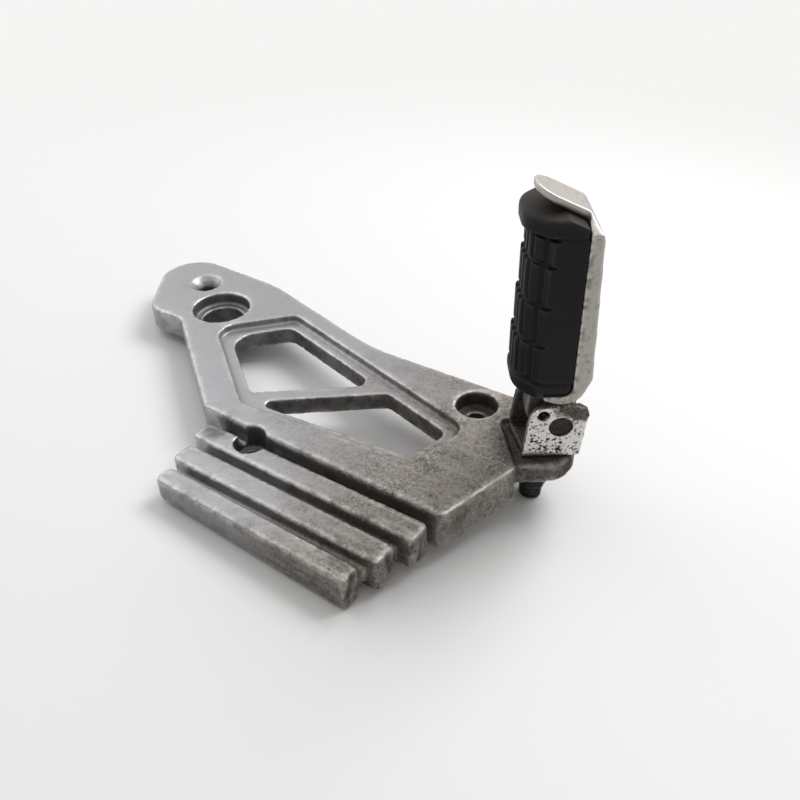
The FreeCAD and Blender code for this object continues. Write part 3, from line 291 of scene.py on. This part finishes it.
def wornMetal(name):
    s = metalFinishes[name]
    sway = metalSettings["pitSway"]
    noises = {"mottle": (s["mottle"], *metalSettings["mottleNoise"]),
              "pit": (s["pit"], *metalSettings["pitNoise"])}
    material, tree, read = wornFinish(name, noises, metalSettings["ramps"], {})
    drift = put(tree, "ShaderNodeMath", {"operation": "MULTIPLY_ADD", 1: sway, 2: -sway / 2},
                {0: read["mottle"]})
    drive = put(tree, "ShaderNodeMath", {"operation": "ADD"}, {0: read["pit"], 1: drift})
    fewest, most = s["pitShare"]
    eaten = put(tree, "ShaderNodeMapRange", {"From Min": fewest, "From Max": most}, {"Value": drive})
    # eaten pits, and the dirt and painted shade in the hollows, take the stain colour
    stainedAndShaded = put(tree, "ShaderNodeMath", {"operation": "MAXIMUM", "use_clamp": True},
                  {0: eaten, 1: read["hollowDirtAndShade"]})
    # the grime value, painted shade in it too, lays the crust colour where the skin is thin
    cakedAndShaded = put(tree, "ShaderNodeMath", {"operation": "MULTIPLY"}, {0: read["grimeAndShade"], 1: read["thin"]})
    matt = put(tree, "ShaderNodeMath", {"operation": "MAXIMUM"}, {0: stainedAndShaded, 1: read["grimeAndShade"]})
    coats = [(s["stainAndShade"], stainedAndShaded), (s["edge"], read["ridge"]), (s["crust"], cakedAndShaded)]
    if "lump" in s:  # corroded crust, where the mark value puts it
        uneven = put(tree, "ShaderNodeMath", {"operation": "MULTIPLY"}, {0: read["mark"], 1: read["thin"]})
        matt = put(tree, "ShaderNodeMath", {"operation": "MAXIMUM"}, {0: matt, 1: read["mark"]})
        coats.append((s["lump"], uneven))
    cleanRough, eatenRough = s["rough"]
    rough = put(tree, "ShaderNodeMapRange", {"To Min": cleanRough, "To Max": eatenRough}, {"Value": matt})
    depth = put(tree, "ShaderNodeMath", {"operation": "SUBTRACT"}, {0: read["pit"], 1: eaten})
    bump = put(tree, "ShaderNodeBump", {"Distance": metalSettings["bumpDepth"] * mm, "Strength": s["bump"]},
               {"Height": depth})
    shader = put(tree, "ShaderNodeBsdfPrincipled", {"Metallic": s["metallic"]},
                 {"Base Color": layCoats(tree, s["base"], coats), "Roughness": rough, "Normal": bump})
    put(tree, "ShaderNodeOutputMaterial", {}, {"Surface": shader})
    return material


rubberSettings = {
    "base": "#0b0b0d", "bloom": "#18181b", "worn": "#34363b", "dirt": "#332d29",
    "noises": {"dust": (6.0, 5.0, 0.7), "grain": (0.7, 3.0, 0.5)},
    "ramps": {
        "dusty": ("dust", {"From Min": 0.45, "From Max": 0.8, "To Max": 0.6}),
        "ridge": ("relief", {"From Min": 0.05, "From Max": 0.5, "To Max": 0.6}),
        "rough": ("dust", {"To Min": 0.42, "To Max": 0.62}),
    },
    "ior": 1.52, "specular": 0.2, "bump": 0.35, "bumpDepth": 0.1,
}


def mouldedRubber():
    # black moulded rubber: matt, faint grey bloom, edges of the tread scuffed paler, brown dust at the ends
    s = rubberSettings
    material, tree, read = wornFinish("mouldedRubber", s["noises"], s["ramps"], {})
    dirty = put(tree, "ShaderNodeMath", {"operation": "MULTIPLY"}, {0: read["grimeAndShade"], 1: read["dust"]})
    coats = [(s["bloom"], read["dusty"]), (s["worn"], read["ridge"]), (s["dirt"], dirty)]
    bump = put(tree, "ShaderNodeBump", {"Distance": s["bumpDepth"] * mm, "Strength": s["bump"]},
               {"Height": read["grain"]})
    shader = put(tree, "ShaderNodeBsdfPrincipled", {"IOR": s["ior"], "Specular IOR Level": s["specular"]},
                 {"Base Color": layCoats(tree, s["base"], coats), "Roughness": read["rough"], "Normal": bump})
    put(tree, "ShaderNodeOutputMaterial", {}, {"Surface": shader})
    return material


finishes = {name: wornMetal(name) for name in metalFinishes}
finishes["bareCastAluminium"] = castAluminium()
finishes["mouldedRubber"] = mouldedRubber()
print("finishes:", len(finishes))


# Worn pieces: each follows its CAD node, with the sharp edges worn round as on the real casting or moulding.
# The marks of a piece are its grime and painted shade, its mark and how far its skin is pushed out (mm), at
# each point.
noiseShifts = {"skin": 0.0, "trayFoot": 1.3, "oilSpot": 2.1, "brightEdge": 3.3, "crust": 4.7, "ribFold": 5.9,
               "besideRubber": 6.4, "knock": 7.3, "crustLump": 9.1}  # so that no two noises look alike


def fade(values, start, end):  # smooth 0 to 1 from start to end
    t = np.clip((values - start) / (end - start), 0, 1)
    return t * t * (3 - 2 * t)


def lumps(spots, size, use):  # noise of that many millimetres, about -1 to 1
    return np.array([noise.noise(Vector(p)) for p in spots / (size * mm) + noiseShifts[use]])


def lineDistance(points, start, end):  # from each point to the straight stretch from start to end
    run = np.array(end) - start
    along = np.clip(((points - start) @ run) / (run @ run), 0, 1)
    return np.linalg.norm(points - start - along[:, None] * run, axis=1)


plateMarkSettings = {  # mm
    "top": 20.0, "rim": (0.6, 3.0),
    "holes": {"peg_side_bolt_hole": (10.3, 0.85), "heel_bolt_hole": (7.8, 0.75), "ear_bolt_hole": (6.5, 0.7),
              "access_hole": (16.0, 0.6)},  # radius and share of painted shade
    # wall: share of the painted shade and dirt on the windows' walls
    "wall": 0.74, "wallReach": 30.0, "wallFacing": (0.8, 0.4), "ledge": 15.5,
    # foot: share of the painted shadow and dirt round the bracket
    "foot": 0.85, "footReach": 13.0,
    "spot": (-121.0, -9.0), "spotReach": (10.0, 10.0 / 3), "spotShare": 0.75, "spotRagged": 3.0,
    "spotGrain": 3.0,
    "brightEdges": [((-20.3, -72.2), (12.3, -45.7), 1.0), ((-32.5, -83.5), (-26.7, -75.3), 0.6),
                    ((-46.5, -92.8), (-40.8, -84.7), 0.6)],  # start, end and share
    "brightReach": (3.0, 1.0), "brightFacing": ((0.35, 0.5), (0.95, 0.85)), "brightShare": 0.8,
    "brightGrain": 5.0,
}
ribEndSettings = {"facing": (0.3, 0.8), "along": (-4.0, 4.0), "across": (-68.0, -71.0), "top": (16.5, 13.5),
                  "fold": 1.1, "foldSize": 3.2, "stretch": (1.0, 1.0, 0.3), "grimeAndShade": 0.7,
                  "grimeFolds": (0.05, -0.35)}  # mm


def holeShade(spots):  # painted shade down in the bolt holes and the access hole
    s = plateMarkSettings
    x, y, z = spots.T / mm
    dirt = np.zeros(len(spots))
    for mount in record["mounts"]:
        radius, share = s["holes"][mount["name"]]
        away = np.hypot(x - mount["pos_m"][0] / mm, y - mount["pos_m"][1] / mm)
        dirt = np.maximum(dirt, share * (away < radius) * fade(s["top"] - z, *s["rim"]))
    return dirt


def wallDirt(spots, normals):  # painted shade with some dirt on the windows' walls below the ledge
    s = plateMarkSettings
    x, y, z = spots.T / mm
    dirt = np.zeros(len(spots))
    for opening in record["physics"]["openings"]:
        (x0, y0, _), (x1, y1, _) = (np.array(corner) / mm for corner in opening["box_m"])
        inX = np.clip(x, x0, x1) - x  # way to the open space
        inY = np.clip(y, y0, y1) - y
        faces = normals[:, 0] * inX + normals[:, 1] * inY > 0
        near = faces & (np.hypot(inX, inY) < s["wallReach"]) & (z < s["ledge"])
        dirt = np.maximum(dirt, s["wall"] * near * fade(np.abs(normals[:, 2]), *s["wallFacing"]))
    return dirt


def footShadowAndDirt(spots):  # painted shadow round the foot of the peg's bracket, with some dirt
    s = plateMarkSettings
    low, high = (np.array(corner[:2]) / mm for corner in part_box("peg_bracket"))
    flat = spots[:, :2] / mm
    off = np.linalg.norm(np.clip(flat, low, high) - flat, axis=1)
    return s["foot"] * fade(off, s["footReach"], 0)


def spotDirt(spots):  # a dark spot beside the heel hole
    s = plateMarkSettings
    off = np.linalg.norm(spots[:, :2] / mm - s["spot"], axis=1)
    ragged = off + s["spotRagged"] * lumps(spots, s["spotGrain"], "oilSpot")
    return s["spotShare"] * fade(ragged, *s["spotReach"])


def brightEdges(spots, normals):  # edges knocked bare on the plate's right end and on two ribs
    s = plateMarkSettings
    bright = np.zeros(len(spots))
    for start, end, share in s["brightEdges"]:
        off = lineDistance(spots[:, :2] / mm, start, end)
        bright = np.maximum(bright, share * fade(off, *s["brightReach"]))
    for facing in s["brightFacing"]:
        bright = bright * fade(normals[:, 2], *facing)
    return bright * np.clip(s["brightShare"] + lumps(spots, s["brightGrain"], "brightEdge"), 0, 1)


def ribEnds(spots, normals):  # 1 on the ribs' right ends, whose casting skin is torn in upright folds
    s = ribEndSettings
    angle = math.radians(castSettings["ribAngle"])
    alongRibs = np.array((math.cos(angle), math.sin(angle), 0.0))
    acrossRibs = np.array((-math.sin(angle), math.cos(angle), 0.0))
    ends = fade(normals @ alongRibs, *s["facing"]) * fade(spots @ alongRibs / mm, *s["along"])
    return ends * fade(spots @ acrossRibs / mm, *s["across"]) * fade(spots[:, 2] / mm, *s["top"])


def plateMarks(spots, normals):
    s = ribEndSettings
    torn = ribEnds(spots, normals)
    fold = lumps(spots * s["stretch"], s["foldSize"], "ribFold")
    foldDirt = s["grimeAndShade"] * torn * fade(fold, *s["grimeFolds"])
    # painted shade in the holes, on the window walls and round the bracket; real dirt in the spot and the rib
    # folds
    dirt = [holeShade(spots), wallDirt(spots, normals), footShadowAndDirt(spots), spotDirt(spots), foldDirt]
    return np.max(dirt, axis=0), brightEdges(spots, normals), s["fold"] * torn * fold


forkMarkSettings = {  # mm
    # inside: span behind the front face that painted shade fills
    "inside": (-36.2, -34.6), "insideShare": 0.95, "stud": (6.0, 3.0), "front": (-33.0, -35.5),
    "crust": ((34.0, -36.6, 45.5), (41.0, -36.6, 42.6)), "crustReach": (6.6, 3.6), "crustRagged": 2.0,
    "crustGrain": 2.0, "crustHeight": 0.8, "lumpSize": 1.6, "lumpLift": 0.4,
}


def forkMarks(spots, normals):
    # only the fork's front face is clean: painted shade inside it and behind it, the stud darkened, and a
    # crust along one top corner
    s = forkMarkSettings
    _, y, z = spots.T / mm
    # painted shade inside the fork and behind its front face; the stud darker
    dirt = np.maximum(s["insideShare"] * fade(y, *s["inside"]), fade(z, *s["stud"]))
    off = lineDistance(spots / mm, *s["crust"]) + s["crustRagged"] * lumps(spots, s["crustGrain"], "crust")
    crust = fade(off, *s["crustReach"])
    lump = s["lumpLift"] + lumps(spots, s["lumpSize"], "crustLump")
    return dirt, crust, s["crustHeight"] * crust * fade(y, *s["front"]) * lump


trayMarkSettings = {  # mm
    "foot": (58.0, 46.0), "footShare": 0.35, "footRagged": 3.0, "footGrain": 5.0, "beside": (37.0, 34.0),
    "besideShare": 0.75, "besideGrain": 2.2, "besideSpots": (-0.1, 0.35), "flange": (131.0, 127.0),
}


def trayMarks(spots, normals):  # greasy foot of the tray, where it folds, and dirt beside the rubber
    s = trayMarkSettings
    x, _, z = spots.T / mm
    ragged = z + s["footRagged"] * lumps(spots, s["footGrain"], "trayFoot")
    foot = s["footShare"] * fade(ragged, *s["foot"])
    patches = fade(lumps(spots, s["besideGrain"], "besideRubber"), *s["besideSpots"])
    beside = s["besideShare"] * fade(x, *s["beside"]) * fade(z, *s["flange"]) * patches
    none = np.zeros(len(spots))
    return np.maximum(foot, beside), none, none


rubberMarkSettings = {"lip": (124.0, 128.0), "lipFacing": (0.0, 0.6),
                      "flankDepth": 1.4, "flankFrom": (17.0, 22.0), "flankLow": (60.0, 62.0),
                      "flankHigh": (126.0, 124.0)}  # mm


def rubberMarks(spots, normals):  # dust on the outer lip, under the flange
    s = rubberMarkSettings
    none = np.zeros(len(spots))
    return fade(spots[:, 2] / mm, *s["lip"]) * fade(normals[:, 2], *s["lipFacing"]), none, none


def fillFlanks(spots):  # the tread's cross grooves run out on the rubber's flat sides
    s = rubberMarkSettings
    low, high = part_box("peg_rubber")
    middle, half = (low[1] + high[1]) / 2, (high[1] - low[1]) / 2
    x, y, z = spots.T
    side = np.abs(y - middle)
    share = fade(x / mm, *s["flankFrom"]) * (side > half - s["flankDepth"] * mm)
    share = share * fade(z / mm, *s["flankLow"]) * fade(z / mm, *s["flankHigh"])
    filled = spots.copy()
    filled[:, 1] = middle + np.sign(y - middle) * (side + share * (half - side))
    return filled


def noMarks(spots, normals):
    none = np.zeros(len(spots))
    return none, none, none


mergeGap = 1e-6  # metres


def mergedMesh(nodeName):  # copy of a CAD node's mesh, its loose triangles joined
    mesh = nodes[nodeName].data.copy()
    work = bmesh.new()
    work.from_mesh(mesh)
    bmesh.ops.remove_doubles(work, verts=work.verts, dist=mergeGap)
    work.to_mesh(mesh)
    work.free()
    return mesh


def newObject(name, mesh):
    obj = bpy.data.objects.new(name, mesh)
    scene.collection.objects.link(obj)
    return obj


def bakeModifiers(obj):
    view = bpy.context.evaluated_depsgraph_get()
    mesh = bpy.data.meshes.new_from_object(obj.evaluated_get(view))
    obj.modifiers.clear()
    obj.data = mesh
    return mesh


def surfaceOf(mesh):  # points and normals as arrays
    count = len(mesh.vertices)
    spots = np.empty(count * 3)
    normals = np.empty(count * 3)
    mesh.vertices.foreach_get("co", spots)
    mesh.vertex_normals.foreach_get("vector", normals)
    return spots.reshape(-1, 3), normals.reshape(-1, 3)


def moveTo(mesh, spots):
    mesh.vertices.foreach_set("co", spots.ravel())
    mesh.update()


def reliefOf(mesh, spots, normals, passes):
    # how far each point stands out from its softened surroundings, in mm
    count = len(spots)
    ends = np.empty(len(mesh.edges) * 2, dtype=np.int32)
    mesh.edges.foreach_get("vertices", ends)
    a, b = ends.reshape(-1, 2).T
    degree = np.maximum(np.bincount(ends, minlength=count), 1)[:, None]
    soft = spots.copy()
    for _ in range(passes):
        total = np.stack([np.bincount(a, soft[b, k], count) + np.bincount(b, soft[a, k], count)
                          for k in range(3)], axis=1)
        soft = 0.5 * soft + 0.5 * total / degree  # halfway to the mean of its neighbours
    return ((spots - soft) * normals).sum(axis=1) / mm


wearSettings = {"smooth": 0.5, "fullEdge": 0.4, "knockGap": 0.05}  # fullEdge: relief of a sharp edge, mm


def wornSkin(nodeName, s):  # the node's surface in even cells, its sharp edges worn round
    obj = newObject(s["piece"], mergedMesh(nodeName))
    skin = obj.modifiers.new("skin", "REMESH")
    skin.mode = "VOXEL"
    skin.voxel_size = s["voxel"] * mm
    worn = obj.modifiers.new("worn", "SMOOTH")
    worn.factor = wearSettings["smooth"]
    worn.iterations = s["passes"]
    bakeModifiers(obj).shade_smooth()
    return obj


def knocks(spots, relief, s):  # uneven skin and small knocks in the edges, mm
    edge = np.clip(relief / wearSettings["fullEdge"], 0, 1)
    struck = np.clip(lumps(spots, s["knockSize"], "knock") - wearSettings["knockGap"], 0, 1)
    return s["skin"] * lumps(spots, s["skinSize"], "skin") - s["knock"] * edge * struck


def wornCopy(nodeName, s):
    obj = wornSkin(nodeName, s)
    mesh = obj.data
    spots, normals = surfaceOf(mesh)
    if "reshape" in s:
        moveTo(mesh, s["reshape"](spots))
        spots, normals = surfaceOf(mesh)
    relief = reliefOf(mesh, spots, normals, s["reliefPasses"])
    # the grime value holds real dirt and painted shade
    grimeAndShade, mark, push = s["marks"](spots, normals)
    if "knock" in s:
        push = push + knocks(spots, relief, s)
        moveTo(mesh, spots + normals * (push * mm)[:, None])
    for name, values in zip(pointValues, (relief, grimeAndShade, mark)):
        layer = mesh.attributes.new(name, "FLOAT", "POINT")
        layer.data.foreach_set("value", values.astype(np.float32))
    if "keep" in s:  # fewer faces on the flats
        thin = obj.modifiers.new("thin", "DECIMATE")
        thin.ratio = s["keep"]
        mesh = bakeModifiers(obj)
        mesh.shade_smooth()
    mesh.materials.clear()
    mesh.materials.append(finishes[s["finish"]])
    mesh.calc_loop_triangles()
    print(s["piece"], len(mesh.loop_triangles), "triangles")
    return obj


wornPieces = {  # sizes in mm
    "cast_plate": {"piece": "castPlate", "finish": "bareCastAluminium", "slot": "cast_aluminium",
                   "body": "plate", "voxel": 0.75, "passes": 4, "reliefPasses": 46, "keep": 0.42,
                   "marks": plateMarks, "skin": 0.05, "skinSize": 4.0, "knock": 0.5, "knockSize": 2.4},
    "peg_bracket": {"piece": "pegBracket", "finish": "pittedPlating", "slot": "plated_steel", "body": "plate",
                    "voxel": 0.5, "passes": 3, "reliefPasses": 24, "marks": forkMarks,
                    "skin": 0.03, "skinSize": 2.0, "knock": 0.4, "knockSize": 2.2},
    "pivot_pin": {"piece": "pivotPin", "finish": "brownRust", "slot": "rusty_steel", "body": "plate",
                  "voxel": 0.4, "passes": 3, "reliefPasses": 16, "marks": noMarks},
    "bracket_nut": {"piece": "bracketNut", "finish": "oilyBlackSteel", "slot": "black_steel", "body": "plate",
                    "voxel": 0.4, "passes": 3, "reliefPasses": 16, "marks": noMarks},
    "bracket_washer": {"piece": "bracketWasher", "finish": "dullZinc", "slot": "plain_steel", "body": "plate",
                       "voxel": 0.4, "passes": 2, "reliefPasses": 14, "marks": noMarks},
    "peg_carrier": {"piece": "pegCarrier", "finish": "rubbedAluminium", "slot": "peg_aluminium",
                    "body": "peg", "voxel": 0.55, "passes": 4, "reliefPasses": 28, "marks": trayMarks,
                    "skin": 0.03, "skinSize": 6.0, "knock": 0.25, "knockSize": 4.0},
    "peg_rubber": {"piece": "pegRubber", "finish": "mouldedRubber", "slot": "black_rubber", "body": "peg",
                   "voxel": 0.5, "passes": 6, "reliefPasses": 22, "marks": rubberMarks,
                   "reshape": fillFlanks},
}
for nodeName, s in wornPieces.items():
    piece = wornCopy(nodeName, s)
    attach(piece, s["body"])
    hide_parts(nodeName)
print("worn pieces made")

plainNodes = {"rubber_insert": "dullZinc", "rubber_screws": "dullZinc", "rubber_screw_washers": "dullZinc"}
for nodeName, finish in plainNodes.items():  # these keep their CAD form
    nodes[nodeName].data.materials.clear()
    nodes[nodeName].data.materials.append(finishes[finish])
print("plain nodes finished")


springSettings = {"hook": 4.0, "wire": 1.8, "finish": "oilyBlackSteel"}  # mm


def returnSpring():
    # a smooth-shaded copy of the spring's CAD mesh, in oily black steel
    s = springSettings
    mesh = mergedMesh("return_spring")
    mesh.shade_smooth()
    mesh.materials.clear()
    mesh.materials.append(finishes[s["finish"]])
    obj = newObject("returnSpring", mesh)
    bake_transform(obj)
    return obj


spring = returnSpring()
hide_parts("return_spring")
print("spring made")


# Thread on the stud's end below the nut: a spiral with a three-sided ridge along it.
threadSettings = {"Turns": 5.0, "Radius": 4.75 * mm, "Length": 7.5 * mm, "Ridge": 0.62 * mm}
threadDetail = {"stepsPerTurn": 40, "ridgeSides": 3, "lift": 0.6}  # lift above the stud's end, mm


def threadTree():
    tree = bpy.data.node_groups.new("studThread", "GeometryNodeTree")
    for name in threadSettings:
        tree.interface.new_socket(name, in_out="INPUT", socket_type="NodeSocketFloat")
    tree.interface.new_socket("Finish", in_out="INPUT", socket_type="NodeSocketMaterial")
    tree.interface.new_socket("Geometry", in_out="OUTPUT", socket_type="NodeSocketGeometry")
    sizes = put(tree, "NodeGroupInput").outputs
    spiral = put(tree, "GeometryNodeCurveSpiral", {"Resolution": threadDetail["stepsPerTurn"]},
                 {"Rotations": sizes["Turns"], "Start Radius": sizes["Radius"], "End Radius": sizes["Radius"],
                  "Height": sizes["Length"]})
    ridge = put(tree, "GeometryNodeCurvePrimitiveCircle", {"Resolution": threadDetail["ridgeSides"]},
                {"Radius": sizes["Ridge"]})
    swept = put(tree, "GeometryNodeCurveToMesh", {"Fill Caps": True},
                {"Curve": spiral, "Profile Curve": ridge})
    whole = put(tree, "GeometryNodeRealizeInstances", {}, {"Geometry": swept})
    coated = put(tree, "GeometryNodeSetMaterial", {}, {"Geometry": whole, "Material": sizes["Finish"]})
    put(tree, "NodeGroupOutput", {}, {"Geometry": coated})
    return tree


def studThread():
    low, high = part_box("bracket_nut")
    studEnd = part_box("peg_bracket")[0][2]
    obj = newObject("studThread", bpy.data.meshes.new("studThread"))
    tree = threadTree()
    ridge = obj.modifiers.new("thread", "NODES")
    ridge.node_group = tree
    values = {**threadSettings, "Finish": finishes["oilyBlackSteel"]}
    for socket in tree.interface.items_tree:
        if socket.in_out == "INPUT":
            ridge[socket.identifier] = values[socket.name]
    mesh = bakeModifiers(obj)
    foot = Vector(((low[0] + high[0]) / 2, (low[1] + high[1]) / 2, studEnd + threadDetail["lift"] * mm))
    mesh.transform(Matrix.Translation(foot))
    print("studThread", len(mesh.polygons), "faces")
    return obj


thread = studThread()
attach(thread, "plate")


# Pale table, light and camera, in metres.
tableSettings = {"colour": "#f8f8f8", "far": "#f6f5f4", "rough": 0.6, "half": 4.0, "fadeOut": (0.26, 0.8),
                 "middle": (-0.06, 0.0, 0.0), "partMiddle": (-0.075, 0.0, 0.0), "downward": -0.5}


def restingPlane():
    # the hull's underside below the middle of the part: what it lies on
    hull = bmesh.new()
    for node in nodes.values():
        for vertex in node.data.vertices:
            hull.verts.new(vertex.co)
    result = bmesh.ops.convex_hull(hull, input=hull.verts)
    middle = Vector(tableSettings["partMiddle"])
    for face in result["geom"]:
        if not isinstance(face, bmesh.types.BMFace) or face.normal.z > tableSettings["downward"]:
            continue
        corners = [v.co for v in face.verts]
        signs = []
        for i, corner in enumerate(corners):
            side = corners[(i + 1) % len(corners)] - corner
            signs.append(side.x * (middle.y - corner.y) - side.y * (middle.x - corner.x))
        if all(t >= 0 for t in signs) or all(t <= 0 for t in signs):
            point, up = corners[0].copy(), -face.normal.copy()
            hull.free()
            return point, up
    raise RuntimeError("no resting face found")


def tableTop():
    # matt white table top: soft shadows near the part, and far from it the even pale grey of the room
    s = tableSettings
    material, tree = newMaterial("paleTableTop")
    place = put(tree, "ShaderNodeTexCoord").outputs["Object"]
    away = put(tree, "ShaderNodeVectorMath", {"operation": "DISTANCE", 1: s["middle"]}, {0: place})
    nearEnd, farEnd = s["fadeOut"]
    span = {"From Min": nearEnd, "From Max": farEnd}
    far = put(tree, "ShaderNodeMapRange", {"interpolation_type": "SMOOTHSTEP", **span}, {"Value": away})
    ray = put(tree, "ShaderNodeLightPath").outputs
    seen = put(tree, "ShaderNodeMath", {"operation": "MAXIMUM"},
               {0: ray["Is Camera Ray"], 1: ray["Is Glossy Ray"]})
    seenAll = put(tree, "ShaderNodeMath", {"operation": "MAXIMUM"}, {0: seen, 1: ray["Is Transmission Ray"]})
    share = put(tree, "ShaderNodeMath", {"operation": "MULTIPLY"}, {0: far, 1: seenAll})
    lit = put(tree, "ShaderNodeBsdfPrincipled", {"Base Color": srgb(s["colour"]), "Roughness": s["rough"]})
    glow = put(tree, "ShaderNodeEmission", {"Color": srgb(s["far"])})
    both = put(tree, "ShaderNodeMixShader", {}, {0: share, 1: lit, 2: glow})
    put(tree, "ShaderNodeOutputMaterial", {}, {"Surface": both})
    return material


def paleTable():
    point, up = restingPlane()
    print("resting plane", [round(v, 4) for v in point], [round(v, 4) for v in up])
    sideX = Vector((1, 0, 0)) - up * up.x
    sideX.normalize()
    sideY = up.cross(sideX)
    half = tableSettings["half"]
    signs = ((-1, -1), (1, -1), (1, 1), (-1, 1))
    mesh = bpy.data.meshes.new("paleTable")
    mesh.from_pydata([point + sideX * half * a + sideY * half * b for a, b in signs], [], [(0, 1, 2, 3)])
    mesh.materials.append(tableTop())
    return newObject("paleTable", mesh)


table = paleTable()

roomSettings = {
    "tint": (1.0, 0.99, 0.98, 1.0), "shown": 0.92, "light": {"To Min": 0.55},  # lights less than it reflects
    "windowWay": (0.15, 0.80, 0.58),  # bright window side behind the part, dim room behind the viewer
    "fall": {"From Min": -0.75, "From Max": 0.55, "To Min": 0.36},
}


def paleRoom():
    s = roomSettings
    world = bpy.data.worlds.new("paleRoom")
    world.use_nodes = True
    tree = world.node_tree
    tree.nodes.clear()
    ray = put(tree, "ShaderNodeLightPath").outputs
    reflected = put(tree, "ShaderNodeMath", {"operation": "MAXIMUM"},
                    {0: ray["Is Glossy Ray"], 1: ray["Is Transmission Ray"]})
    strength = put(tree, "ShaderNodeMapRange", s["light"], {"Value": reflected})
    way = put(tree, "ShaderNodeTexCoord").outputs["Generated"]
    facing = put(tree, "ShaderNodeVectorMath", {"operation": "DOT_PRODUCT", 1: s["windowWay"]}, {0: way})
    room = put(tree, "ShaderNodeMapRange", {"interpolation_type": "SMOOTHSTEP", **s["fall"]},
               {"Value": facing})
    level = put(tree, "ShaderNodeMath", {"operation": "MULTIPLY"}, {0: strength, 1: room})
    shown = put(tree, "ShaderNodeMath", {"operation": "MULTIPLY", 1: s["shown"]}, {0: ray["Is Camera Ray"]})
    levelSeen = put(tree, "ShaderNodeMath", {"operation": "MAXIMUM"}, {0: level, 1: shown})
    sky = put(tree, "ShaderNodeBackground", {"Color": s["tint"]}, {"Strength": levelSeen})
    put(tree, "ShaderNodeOutputWorld", {}, {"Surface": sky})
    return world


scene.world = paleRoom()

lamps = {
    "windowLight": {"place": (0.55, 0.40, 0.85), "aim": (-0.06, 0.02, 0.02), "size": 0.6, "power": 6.5},
    "softFill": {"place": (-0.7, 0.5, 0.7), "aim": (-0.06, 0.0, 0.02), "size": 0.9, "power": 2.0},
}
for name, s in lamps.items():
    lamp = bpy.data.lights.new(name, "AREA")
    lamp.size = s["size"]
    lamp.energy = s["power"]
    holder = newObject(name, lamp)
    holder.location = s["place"]
    holder.rotation_euler = (Vector(s["aim"]) - Vector(s["place"])).to_track_quat("-Z", "Y").to_euler()

cameraSettings = {"place": (-36.3, -319.0, 264.1), "pitch": 37.0, "roll": 1.5, "lens": 38.25, "sensor": 36.0,
                  "near": 10.0}  # mm and degrees


def photoCamera():
    s = cameraSettings
    pitch, roll = math.radians(s["pitch"]), math.radians(s["roll"])
    forward = Vector((0, math.cos(pitch), -math.sin(pitch)))
    upWay = Vector((0, math.sin(pitch), math.cos(pitch)))
    right = Vector((1, 0, 0))
    cameraX = math.cos(roll) * right - math.sin(roll) * upWay
    cameraY = math.sin(roll) * right + math.cos(roll) * upWay
    lens = bpy.data.cameras.new("camera")
    lens.lens = s["lens"]
    lens.sensor_width = s["sensor"]
    lens.clip_start = s["near"] * mm
    camera = newObject("camera", lens)
    turn = Matrix((cameraX, cameraY, -forward)).transposed()
    camera.matrix_world = Matrix.Translation(Vector(s["place"]) * mm) @ turn.to_4x4()
    return camera


scene.camera = photoCamera()
print("table, light and camera placed")
